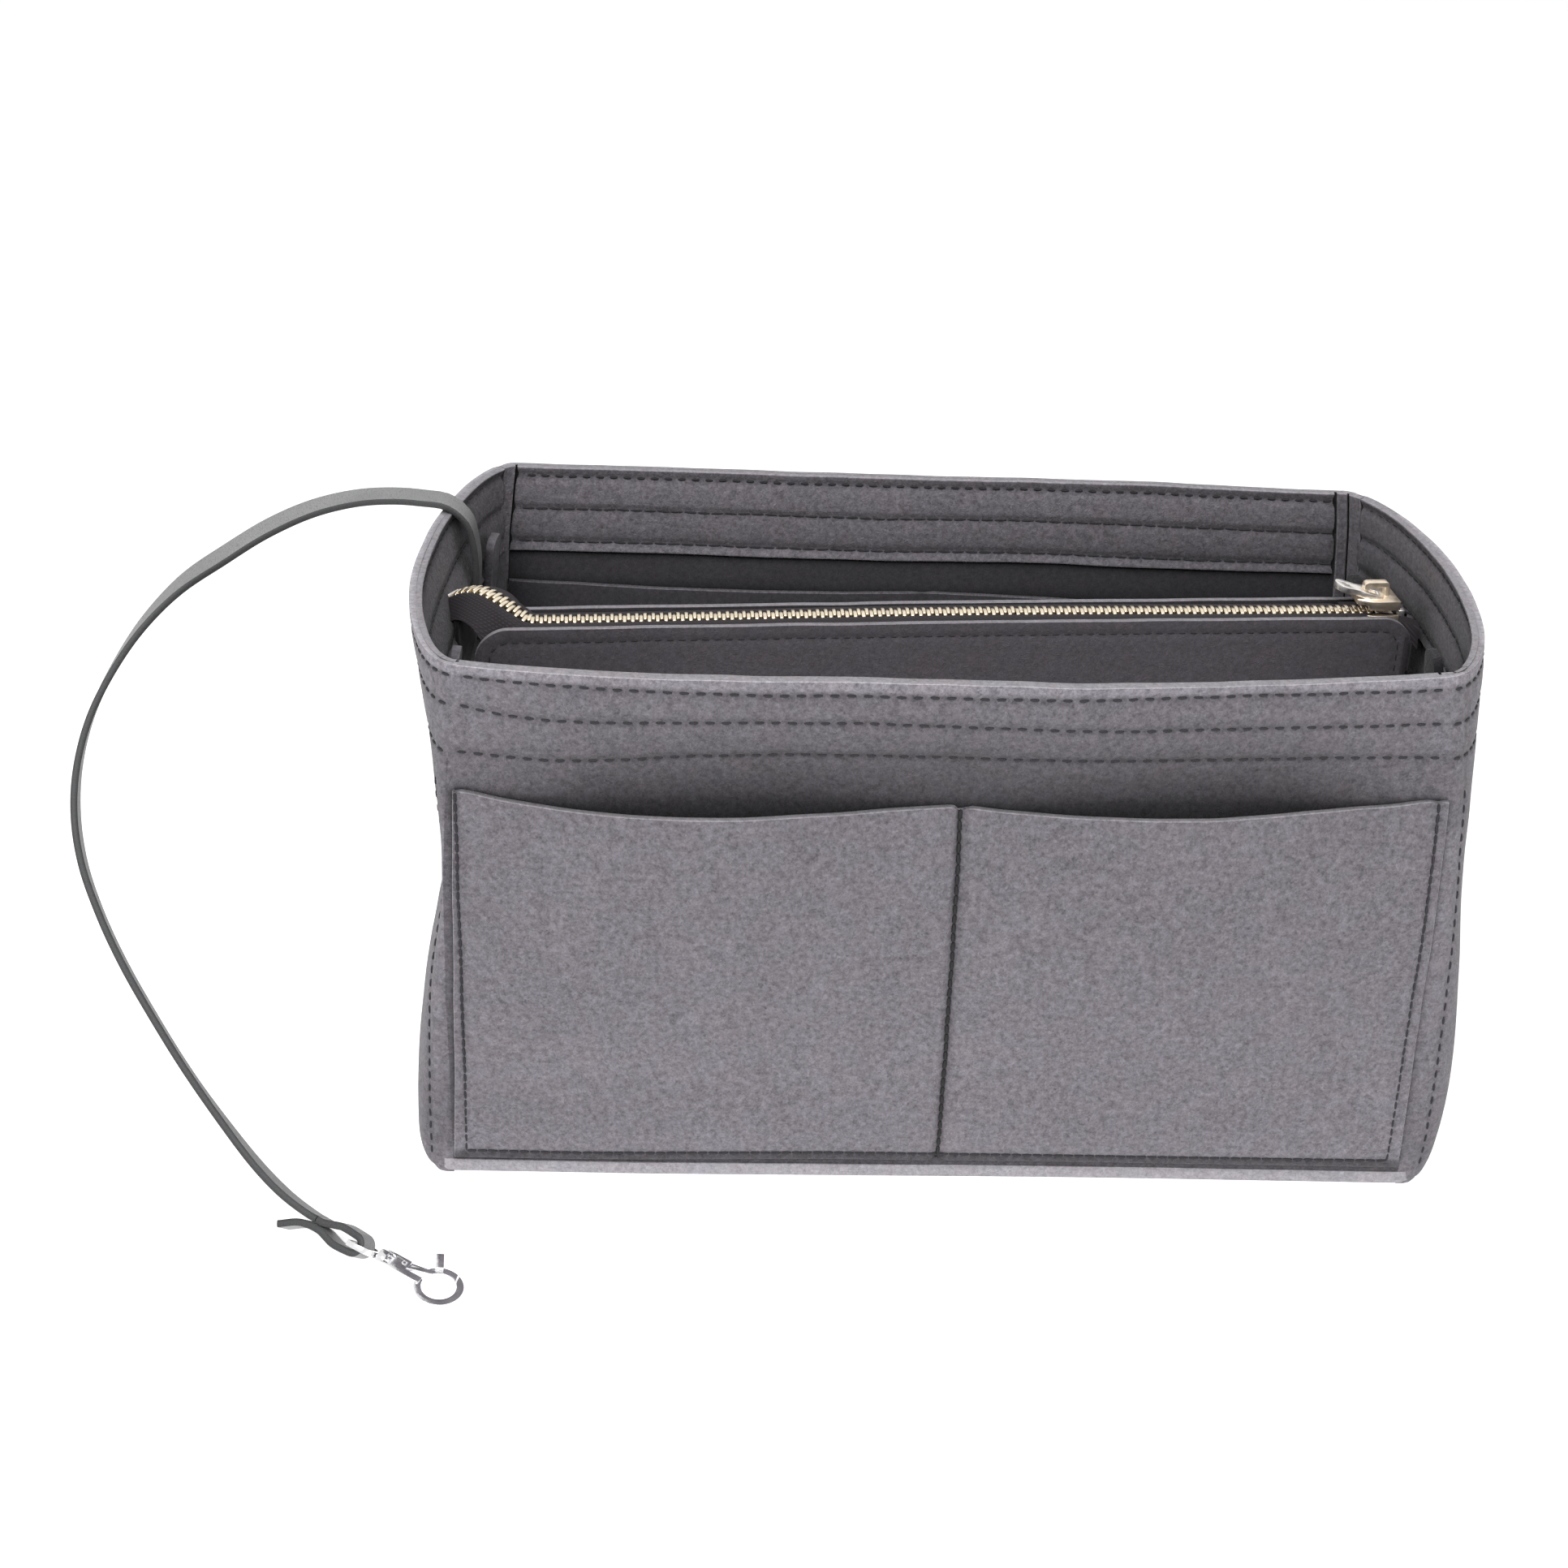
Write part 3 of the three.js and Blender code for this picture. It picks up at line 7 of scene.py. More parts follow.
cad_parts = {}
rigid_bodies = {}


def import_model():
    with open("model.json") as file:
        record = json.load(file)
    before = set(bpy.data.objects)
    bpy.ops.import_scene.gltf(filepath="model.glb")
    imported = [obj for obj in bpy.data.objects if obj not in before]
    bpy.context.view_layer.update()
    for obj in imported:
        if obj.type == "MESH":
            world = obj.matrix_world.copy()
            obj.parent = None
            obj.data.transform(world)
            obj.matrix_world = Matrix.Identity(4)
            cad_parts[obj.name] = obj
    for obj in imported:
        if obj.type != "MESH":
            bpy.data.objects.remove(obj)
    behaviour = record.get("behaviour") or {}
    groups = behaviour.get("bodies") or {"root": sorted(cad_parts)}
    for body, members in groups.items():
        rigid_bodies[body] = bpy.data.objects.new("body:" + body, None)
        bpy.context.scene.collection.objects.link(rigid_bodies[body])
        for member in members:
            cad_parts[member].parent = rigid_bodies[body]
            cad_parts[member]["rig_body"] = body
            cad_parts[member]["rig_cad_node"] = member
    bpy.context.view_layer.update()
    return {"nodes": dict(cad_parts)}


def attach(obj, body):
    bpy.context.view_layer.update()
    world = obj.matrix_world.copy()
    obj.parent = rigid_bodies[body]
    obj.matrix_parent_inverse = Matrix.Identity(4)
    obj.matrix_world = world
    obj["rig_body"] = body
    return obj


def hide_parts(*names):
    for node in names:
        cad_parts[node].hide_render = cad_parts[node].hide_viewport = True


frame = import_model()
mm = 0.001
noise.seed_set(7)      # without it each run has waves of its own
print("frame loaded")

# Camera

cameraSetup = {
    "place": (-0.05157, -0.61015, 0.41570),
    "turn": -0.743,      # degrees round the bag, from the front
    "lift": 28.069,      # degrees above the table
    "roll": 1.469,
    "lens": 52.44,       # on a 36 mm wide picture
}


def makeCamera():
    turn, lift, roll = (math.radians(cameraSetup[k]) for k in ("turn", "lift", "roll"))
    back = Vector((math.sin(turn) * math.cos(lift), -math.cos(turn) * math.cos(lift), math.sin(lift)))
    right = Vector((math.cos(turn), math.sin(turn), 0))
    top = back.cross(right)
    rolledRight = right * math.cos(roll) + top * math.sin(roll)
    rolledTop = top * math.cos(roll) - right * math.sin(roll)
    bpy.ops.object.camera_add()
    camera = bpy.context.object
    camera.matrix_world = Matrix((rolledRight, rolledTop, back)).transposed().to_4x4()
    camera.location = cameraSetup["place"]
    camera.data.lens = cameraSetup["lens"]
    camera.data.sensor_width = 36
    camera.data.clip_start = 0.01
    bpy.context.scene.camera = camera


makeCamera()

# Small helpers


def deselectAll():
    bpy.ops.object.select_all(action="DESELECT")


def activate(piece):
    deselectAll()
    piece.select_set(True)
    bpy.context.view_layer.objects.active = piece


def applyAll(piece):
    activate(piece)
    for modifier in list(piece.modifiers):
        bpy.ops.object.modifier_apply(modifier=modifier.name)


def addBevel(piece, width, segments=2, angle=50):
    bevel = piece.modifiers.new("edge", "BEVEL")
    bevel.width = width
    bevel.segments = segments
    bevel.limit_method = "ANGLE"
    bevel.angle_limit = math.radians(angle)
    bevel.harden_normals = False


def smooth(piece, angle=50):
    activate(piece)
    bpy.ops.object.shade_smooth_by_angle(angle=math.radians(angle))


def dress(piece, body, material, nodes=()):
    if isinstance(material, list):
        for index, each in enumerate(material):
            piece.data.materials[index] = each
    else:
        piece.data.materials.clear()
        piece.data.materials.append(material)
    if nodes:
        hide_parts(*nodes)
    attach(piece, body)
    return piece


def mix(a, b, share):
    return a + (b - a) * share


def climb(at, low, high):
    # 0 up to low, and 1 from high on
    return min(1, max(0, (at - low) / (high - low)))


def hill(at, centre, reach):
    # 1 at its centre, dying away on both sides
    return math.exp(-((at - centre) / reach) ** 2)


def evenly(count):
    return [k / count for k in range(count + 1)]


def editAll(piece, *steps):
    # Runs edit mode operators on the whole of a piece
    activate(piece)
    bpy.ops.object.mode_set(mode="EDIT")
    bpy.ops.mesh.select_all(action="SELECT")
    for step in steps:
        step()
    bpy.ops.object.mode_set(mode="OBJECT")


def turnOut():
    bpy.ops.mesh.normals_make_consistent(inside=False)


def newPiece(name, points, polygons):
    mesh = bpy.data.meshes.new(name)
    mesh.from_pydata(points, [], polygons)
    piece = bpy.data.objects.new(name, mesh)
    bpy.context.scene.collection.objects.link(piece)
    return piece


def asTemplate(piece):
    # Takes a small piece out of the scene, as the shape and faces of its copies
    shape = [v.co.copy() for v in piece.data.vertices]
    faces = [tuple(p.vertices) for p in piece.data.polygons]
    bpy.data.objects.remove(piece)
    return shape, faces


# Shader groups


def newGroup(name, inputs, outputs):
    group = bpy.data.node_groups.new(name, "ShaderNodeTree")
    for label, kind, value in inputs:
        socket = group.interface.new_socket(label, in_out="INPUT", socket_type=kind)
        socket.default_value = value
    for label, kind in outputs:
        group.interface.new_socket(label, in_out="OUTPUT", socket_type=kind)
    start = group.nodes.new("NodeGroupInput")
    end = group.nodes.new("NodeGroupOutput")
    return group, start, end


def wire(tree, node, **inputs):
    # Sets or links a node's inputs; an underscore stands for the space in a name
    for key, value in inputs.items():
        socket = node.inputs[key.replace("_", " ")]
        if isinstance(value, (int, float, tuple)):
            socket.default_value = value
        else:
            tree.links.new(value, socket)


def addNode(tree, kind, settings=None, **links):
    node = tree.nodes.new(kind)
    for key, value in (settings or {}).items():
        if hasattr(node, key):
            setattr(node, key, value)
        else:
            node.inputs[key].default_value = value
    wire(tree, node, **links)
    return node


def useGroup(tree, group, **inputs):
    node = tree.nodes.new("ShaderNodeGroup")
    node.node_tree = group
    wire(tree, node, **inputs)
    return node


def objectPlace(tree):
    return tree.nodes.new("ShaderNodeTexCoord").outputs["Object"]


def addBump(tree, strength, distance, height):
    bump = addNode(tree, "ShaderNodeBump", {"Strength": strength, "Distance": distance}, Height=height)
    return bump.outputs["Normal"]


def mathNode(tree, operation, a, b=None, clamp=False):
    node = tree.nodes.new("ShaderNodeMath")
    node.operation = operation
    node.use_clamp = clamp
    for index, value in enumerate((a, b)):
        if value is None:
            continue
        if isinstance(value, (int, float)):
            node.inputs[index].default_value = value
        else:
            tree.links.new(value, node.inputs[index])
    return node.outputs[0]


def plus(tree, a, b, clamp=False):
    return mathNode(tree, "ADD", a, b, clamp)


def minus(tree, a, b):
    return mathNode(tree, "SUBTRACT", a, b)


def times(tree, a, b):
    return mathNode(tree, "MULTIPLY", a, b)


def mixColour(tree, factor, a, b, blend="MIX"):
    node = tree.nodes.new("ShaderNodeMix")
    node.data_type = "RGBA"
    node.blend_type = blend
    sockets = {"factor": node.inputs[0], "a": node.inputs[6], "b": node.inputs[7]}
    for key, value in (("factor", factor), ("a", a), ("b", b)):
        if isinstance(value, (int, float, tuple)):
            sockets[key].default_value = value
        else:
            tree.links.new(value, sockets[key])
    return node.outputs[2]


def rampNode(tree, source, stops):
    node = tree.nodes.new("ShaderNodeValToRGB")
    elements = node.color_ramp.elements
    while len(elements) < len(stops):
        elements.new(0.5)
    for element, (position, value) in zip(elements, stops):
        element.position = position
        element.color = value if isinstance(value, tuple) else (value, value, value, 1)
    tree.links.new(source, node.inputs[0])
    return node.outputs[0]


def makeFeltGroup():
    # Pressed wool: faint clouding, heather flecks and curly fibres of a millimetre or two
    group, start, end = newGroup("pressedFelt", [
        ("Base", "NodeSocketColor", (0.2, 0.19, 0.21, 1)),
        ("Contrast", "NodeSocketFloat", 1.0),
    ], [("Color", "NodeSocketColor"), ("Height", "NodeSocketFloat"), ("Roughness", "NodeSocketFloat")])
    place = objectPlace(group)

    def noiseAt(scale, detail, roughness, distortion=0.0):
        settings = {"Scale": scale, "Detail": detail, "Roughness": roughness, "Distortion": distortion}
        return addNode(group, "ShaderNodeTexNoise", settings, Vector=place).outputs["Fac"]

    def around(value, weight):
        return times(group, minus(group, value, 0.5), weight)

    def curls(scale, distortion, middle):
        fibre = mathNode(group, "ABSOLUTE", minus(group, noiseAt(scale, 2, 0.5, distortion), middle))
        return rampNode(group, fibre, [(0.0, 1.0), (0.03, 0.0)])

    cloud = noiseAt(38, 2, 0.5)
    fleck = noiseAt(620, 3, 0.62)
    grain = noiseAt(1500, 2, 0.6)
    pale = curls(260, 2.6, 0.5)
    dark = curls(410, 1.8, 0.46)
    shade = around(cloud, 0.14)
    parts = [around(fleck, 1.25), around(grain, 0.7), times(group, pale, 0.22), times(group, dark, -0.16)]
    for part in parts:
        shade = plus(group, shade, part)
    shade = plus(group, times(group, shade, start.outputs["Contrast"]), 1.0)
    tints = [(0.3, (0.975, 1.0, 1.02, 1)), (0.7, (1.02, 0.99, 1.005, 1))]
    warm = rampNode(group, noiseAt(120, 2, 0.5), tints)
    colour = mixColour(group, 1.0, start.outputs["Base"], warm, "MULTIPLY")
    colour = mixColour(group, 1.0, colour, shade, "MULTIPLY")
    height = plus(group, times(group, fleck, 0.6), times(group, pale, 0.35))
    height = plus(group, height, times(group, grain, 0.3))
    rough = plus(group, times(group, fleck, 0.12), 0.86, clamp=True)
    wire(group, end, Color=colour, Height=height, Roughness=rough)
    return group


feltGroup = makeFeltGroup()


def newMaterial(name):
    material = bpy.data.materials.new(name)
    material.use_nodes = True
    tree = material.node_tree
    return material, tree, tree.nodes["Principled BSDF"]


def makeFelt(name, base, contrast=1.0, sheen=0.2, paintedHollowShade=0.3):
    # paintedHollowShade: how dark the painted shade gets deep in folds and corners, where ambient occlusion
    # finds them
    material, tree, shader = newMaterial(name)
    felt = useGroup(tree, feltGroup, Base=(*base, 1), Contrast=contrast)
    # painted shade: ambient occlusion at a wide and a close reach darkens hollows and creases, kept off near
    # the floor, then times the painted shade in the piece's 'shadow' attribute
    wide = addNode(tree, "ShaderNodeAmbientOcclusion", {"samples": 5, "Distance": 0.075})
    close = addNode(tree, "ShaderNodeAmbientOcclusion", {"samples": 4, "Distance": 0.014})
    shade = times(tree, rampNode(tree, wide.outputs["AO"], [(0.15, paintedHollowShade), (0.8, 1.0)]),
                  rampNode(tree, close.outputs["AO"], [(0.2, 0.35), (0.85, 1.0)]))
    place = addNode(tree, "ShaderNodeSeparateXYZ", Vector=objectPlace(tree))
    nearFloor = rampNode(tree, times(tree, place.outputs["Z"], 20), [(0.0, 1.0), (1.0, 0.0)])
    shade = mathNode(tree, "MAXIMUM", shade, nearFloor)
    painted = addNode(tree, "ShaderNodeAttribute", {"attribute_name": "shadow"})
    shade = times(tree, shade, minus(tree, 1.0, painted.outputs["Fac"]))
    wire(tree, shader, Base_Color=mixColour(tree, 1.0, felt.outputs["Color"], shade, "MULTIPLY"),
         Roughness=felt.outputs["Roughness"], Normal=addBump(tree, 0.7, 0.0005, felt.outputs["Height"]),
         Sheen_Weight=sheen, Sheen_Roughness=0.5, Specular_IOR_Level=0.15)
    return material


def makeWearGroup():
    # Fine scratches and smudges for plated metal
    group, start, end = newGroup("platingWear", [
        ("Base", "NodeSocketColor", (0.8, 0.8, 0.8, 1)),
        ("Roughness", "NodeSocketFloat", 0.2),
    ], [("Color", "NodeSocketColor"), ("Roughness", "NodeSocketFloat"), ("Height", "NodeSocketFloat")])
    place = objectPlace(group)
    smudges = {"Scale": 300, "Detail": 4, "Roughness": 0.6}
    scratches = {"Scale": 1400, "Detail": 2, "Distortion": 1.5}
    smudge, scratch = (addNode(group, "ShaderNodeTexNoise", each, Vector=place).outputs["Fac"]
                       for each in (smudges, scratches))
    dull = rampNode(group, smudge, [(0.35, 0.82), (0.7, 1.0)])
    rough = plus(group, start.outputs["Roughness"], times(group, minus(group, smudge, 0.4), 0.25), clamp=True)
    wire(group, end, Color=mixColour(group, 1.0, start.outputs["Base"], dull, "MULTIPLY"), Roughness=rough,
         Height=scratch)
    return group


wearGroup = makeWearGroup()


def makePlated(name, base, roughness):
    material, tree, shader = newMaterial(name)
    wear = useGroup(tree, wearGroup, Base=(*base, 1), Roughness=roughness)
    wire(tree, shader, Base_Color=wear.outputs["Color"], Roughness=wear.outputs["Roughness"],
         Normal=addBump(tree, 0.12, 0.0001, wear.outputs["Height"]), Metallic=1)
    return material


def tinted(base, share):
    return (*[c * share for c in base], 1)


def makeThread(name, base):
    material, tree, shader = newMaterial(name)
    settings = {"Scale": 900, "Distortion": 2.0, "Detail": 1}
    ply = addNode(tree, "ShaderNodeTexWave", settings, Vector=objectPlace(tree)).outputs["Fac"]
    colour = rampNode(tree, ply, [(0.2, tinted(base, 0.6)), (0.8, tinted(base, 1.3))])
    wire(tree, shader, Base_Color=colour, Normal=addBump(tree, 0.6, 0.0001, ply), Roughness=0.7)
    return material


def makeTape(name, base):
    # Woven zip tape: fine herringbone ribs
    material, tree, shader = newMaterial(name)
    place = objectPlace(tree)
    weft = {"Scale": 420, "bands_direction": "DIAGONAL", "Distortion": 0.6}
    warp = {"Scale": 520, "bands_direction": "Y", "Distortion": 0.4}
    ribs = [addNode(tree, "ShaderNodeTexWave", each, Vector=place).outputs["Fac"] for each in (weft, warp)]
    weave = times(tree, *ribs)
    colour = rampNode(tree, weave, [(0.0, tinted(base, 0.55)), (0.7, tinted(base, 1.5))])
    wire(tree, shader, Base_Color=colour, Normal=addBump(tree, 0.5, 0.0002, weave), Roughness=0.8)
    return material


def makeLeather(name, base, roughness, grainStrength):
    material, tree, shader = newMaterial(name)
    place = objectPlace(tree)
    settings = {"Scale": 1500, "feature": "DISTANCE_TO_EDGE"}
    cells = addNode(tree, "ShaderNodeTexVoronoi", settings, Vector=place)
    creases = rampNode(tree, cells.outputs["Distance"], [(0.0, 0.0), (0.12, 1.0)])
    cloud = addNode(tree, "ShaderNodeTexNoise", {"Scale": 90, "Detail": 3}, Vector=place).outputs["Fac"]
    colour = rampNode(tree, cloud, [(0.3, tinted(base, 0.88)), (0.7, tinted(base, 1.1))])
    colour = mixColour(tree, minus(tree, 1.0, creases), colour, tinted(base, 0.6))
    wire(tree, shader, Base_Color=colour, Roughness=plus(tree, times(tree, cloud, 0.15), roughness),
         Normal=addBump(tree, grainStrength, 0.0001, creases))
    return material


bagFelt = makeFelt("bagFelt", (0.236, 0.22, 0.242), 1.25)
# painted highlight: a lighter copy of the bag's felt on its cut edges, rim and base
bagEdgeHighlight = makeFelt("bagEdgeHighlight", (0.46, 0.44, 0.465), 0.8)
# painted shade: dark copies of the bag's felt for the inside faces of the walls and end panels, the inner
# pockets and the right tabs
bagInsideShade = makeFelt("bagInsideShade", (0.07, 0.066, 0.073), 0.8)
endInsideShade = makeFelt("endInsideShade", (0.035, 0.032, 0.036), 0.8)
pouchFelt = makeFelt("pouchFelt", (0.125, 0.115, 0.128), 0.7)
# painted highlight: a lighter copy of the pouch's felt on its cut edges
pouchEdgeHighlight = makeFelt("pouchEdgeHighlight", (0.38, 0.36, 0.385), 0.7)
earCloth = makeFelt("earCloth", (0.04, 0.033, 0.04), 0.5, 0.15)
feltSides = [bagFelt, bagInsideShade, bagEdgeHighlight]
endSides = [bagFelt, endInsideShade, bagEdgeHighlight]
hemSides = [bagFelt, bagFelt, bagEdgeHighlight]
insideShadeSides = [bagInsideShade, bagInsideShade, bagFelt]
pouchSides = [pouchFelt, pouchFelt, pouchEdgeHighlight]
darkThread = makeThread("darkThread", (0.022, 0.021, 0.026))
# painted shade: a darker copy of the thread for the deep middle seam of the outer pockets
shadedThread = makeThread("shadedThread", (0.008, 0.007, 0.008))
zipTape = makeTape("zipTape", (0.024, 0.019, 0.023))
zipGold = makePlated("zipGold", (0.95, 0.84, 0.66), 0.3)
sliderGold = makePlated("sliderGold", (0.98, 0.85, 0.68), 0.36)
pullSilver = makePlated("pullSilver", (0.98, 0.95, 0.92), 0.34)
claspSilver = makePlated("claspSilver", (0.95, 0.95, 0.96), 0.13)
strapFace = makeLeather("strapFace", (0.38, 0.38, 0.385), 0.42, 0.35)
strapEdge = makeLeather("strapEdge", (0.055, 0.056, 0.058), 0.5, 0.2)
strapSides = [strapFace, strapEdge]
fastenerNap = makeFelt("fastenerNap", (0.02, 0.019, 0.022), 1.4, 0.1)
print("materials ready")

# Plan of the bag

bag = {
    "height": 163,
    "depth": 150,          # over the front and back walls
    "widthBase": 276,
    "widthRim": 260,
    "endBulge": 20.5,
    "endSharesLeft": [0.68, 0.62, 0.4, 0.07, 0.41, 1],
    "endSharesRight": [0.84, 0.98, 0.87, 0.7, 0.81, 1],
    "endPowerBase": {-1: 4, 1: 3.1},
    "endPowerRim": 1.9,
    "frontBow": 4,
    "backBow": 1.5,
    "felt": 2,
    "gap": 0.3,
    "hem": 28.2,
    "lipHeight": 4.6,
    "lipRise": 4.8,
    "endRoll": 8,          # height over which the ends turn under the base
    "endRollIn": 5,
}
endHalfDepth = bag["depth"] / 2
hemFoot = bag["height"] - bag["hem"]
frontAndBack = ((-1, "front"), (1, "back"))
leftAndRight = ((-1, "left"), (1, "right"))


def heightShare(z):
    return climb(z, 0, bag["height"])


def bowShare(z):
    return climb(z, bag["lipHeight"], bag["height"])


def between(shares, at):
    spans = len(shares) - 1
    k = min(int(at * spans), spans - 1)
    t = at * spans - k
    before, a, b, after = (shares[min(max(k + i, 0), spans)] for i in (-1, 0, 1, 2))
    slopeA, slopeB = (b - before) / 2, (after - a) / 2
    return ((2 * t ** 3 - 3 * t ** 2 + 1) * a + (t ** 3 - 2 * t ** 2 + t) * slopeA
            + (3 * t ** 2 - 2 * t ** 3) * b + (t ** 3 - t ** 2) * slopeB)


def wallHalf(z):
    return mix(bag["widthBase"] / 2, bag["widthRim"] / 2, heightShare(z) ** 3)


def endBulge(side, z):
    under = max(0, 1 - z / bag["endRoll"])
    rolled = bag["endRollIn"] * (1 - math.sqrt(1 - under ** 2))
    shares = bag["endSharesLeft"] if side < 0 else bag["endSharesRight"]
    return bag["endBulge"] * between(shares, heightShare(z)) - rolled


def wallPoint(side, x, z, inset=0.0):
    bow = bag["frontBow"] if side < 0 else bag["backBow"]
    across = x / wallHalf(z)
    y = bag["depth"] / 2 + bow * bowShare(z) * (1 - across * across) - inset
    return Vector((x, side * y, z))


def endPower(side, z):
    return mix(bag["endPowerBase"][side], bag["endPowerRim"], heightShare(z))


def endPoint(side, turn, z, inset=0.0):
    power = 2 / endPower(side, z)
    swing = math.sin(turn)
    y = (endHalfDepth - inset) * math.copysign(abs(swing) ** power, swing)
    swell = (endBulge(side, z) - inset) * max(math.cos(turn), 0) ** power
    return Vector((side * (wallHalf(z) + swell), y, z))


# The felt has settled: narrower at the right of the rim, the front pushed out and sunk above the pockets.
# A pair is the low and high end of a climb, or the centre and reach of a hill
settling = {
    "narrowing": 0.033,
    "narrowingRight": 0.067,
    "half": 130,
    "frontFrom": (0, 60),
    "frontHalf": 134,
    "frontPush": 4.0,
    "frontDent": 6.0,
    "dentHeight": (129, 16),
    "footDraw": 1.8,           # the front's foot has crept back under the bag, more to the right
    "footDrawFrom": (-80, 40),
    "footDrawHeight": (0, 10),
    "cornerLift": 3.0,         # the seams climb towards the front left corner
    "cornerFrom": (105, 130),
    "cornerHeight": (152, 9),
    "footLift": 1.4,           # the pockets' foot climbs away from the left
    "footLiftFrom": (-100, -30),
    "footLiftHeight": (9, 7),
    "rimSag": 1.6,
    "rimSagAt": (80, 50),
    "rimSagHeight": (158, 163),
    "rowHeights": [128, 139, 150, 158, 163],
    "rowsLeft": [0, -2.8, -1.0, 1.3, 0.5],     # the rows spread apart at the left
    "rowsLeftAt": (-105, 30),
    "rowsRight": [0, -0.7, -1.5, 0, 0],        # and sink a little at the right
    "rowsRightFrom": (-10, 60),
    "looseFrom": (6, 36),      # the foot is held flat, and the rest ripples
    "wave": 0.8,
    "waveLength": 62,
    "ripple": 0.2,
    "rippleLength": 14,
}


def footDraw(x):
    return settling["footDraw"] * climb(x, *settling["footDrawFrom"])


def mouthOpen(x):
    # 0 where a pocket is sewn to the wall, 1 in the middle of each of its halves
    share = min(abs(x - pocketSetup["middleSeam"]) / pocketSetup["sewnHalf"], 1)
    return math.sin(math.pi * share) ** 2


def settled(p, dent=1.0):
    s = settling
    high = heightShare(p.z) ** 1.5
    frontness = climb(-p.y, *s["frontFrom"])
    middle = max(0.0, 1 - (p.x / s["frontHalf"]) ** 2)
    q = p.copy()
    q.y *= 1 - high * (s["narrowing"] + s["narrowingRight"] * p.x / s["half"])
    q.y -= frontness * s["frontPush"] * middle * high
    q.y += frontness * s["frontDent"] * middle ** 0.5 * hill(p.z, *s["dentHeight"]) * dent
    q.y += frontness * footDraw(p.x) * hill(p.z, *s["footDrawHeight"])
    lift = s["cornerLift"] * climb(-p.x, *s["cornerFrom"]) ** 2 * hill(p.z, *s["cornerHeight"])
    lift += s["footLift"] * climb(p.x, *s["footLiftFrom"]) * hill(p.z, *s["footLiftHeight"])
    lift -= s["rimSag"] * hill(p.x, *s["rimSagAt"]) * climb(p.z, *s["rimSagHeight"])
    lift += hill(p.x, *s["rowsLeftAt"]) * np.interp(p.z, s["rowHeights"], s["rowsLeft"])
    lift += climb(p.x, *s["rowsRightFrom"]) * np.interp(p.z, s["rowHeights"], s["rowsRight"])
    q.z += frontness * float(lift)
    loose = climb(p.z, *s["looseFrom"])
    q += noise.noise_vector(p / s["waveLength"]) * s["wave"] * loose
    q += noise.noise_vector(p / s["rippleLength"]) * s["ripple"] * loose
    return q


def pocketSettled(p):
    return settled(p, 1 - 0.8 * mouthOpen(p.x))


# Felt sheets

sewing = {
    "grooveDepth": 0.55,
    "grooveWidth": 1.3,
    "grooveShade": 0.3,    # painted shade along the pinched seams
    "pitch": 4.28,
    "dash": 2.5,
    "threadRadius": 0.38,
    "cornerFree": 2.5,     # nothing is pinched this near a corner, where two sheets meet
}


def levels(low, high, step, rows=()):
    # Even steps, with finer ones beside each sewn row
    marks = set(np.round(np.linspace(low, high, max(2, int((high - low) / step) + 1)), 3))
    for row in rows:
        for off in (-2.4, -1.6, -1.0, -0.5, 0, 0.5, 1.0, 1.6, 2.4):
            if low < row + off < high:
                marks.add(round(row + off, 3))
    ordered = sorted(marks)
    kept = [ordered[0]]
    for mark in ordered[1:-1]:
        if mark - kept[-1] > 0.32 and ordered[-1] - mark > 0.32:
            kept.append(mark)
    return kept + [ordered[-1]]


def gridPiece(name, us, vs, surface):
    deselectAll()
    columns, rows = len(us) - 1, len(vs) - 1
    bpy.ops.mesh.primitive_grid_add(x_subdivisions=columns, y_subdivisions=rows, size=1)
    piece = bpy.context.object
    piece.name = name
    for vertex in piece.data.vertices:
        i = round((vertex.co.x + 0.5) * columns)
        j = round((vertex.co.y + 0.5) * rows)
        vertex.co = surface(us[i], vs[j])
    return piece


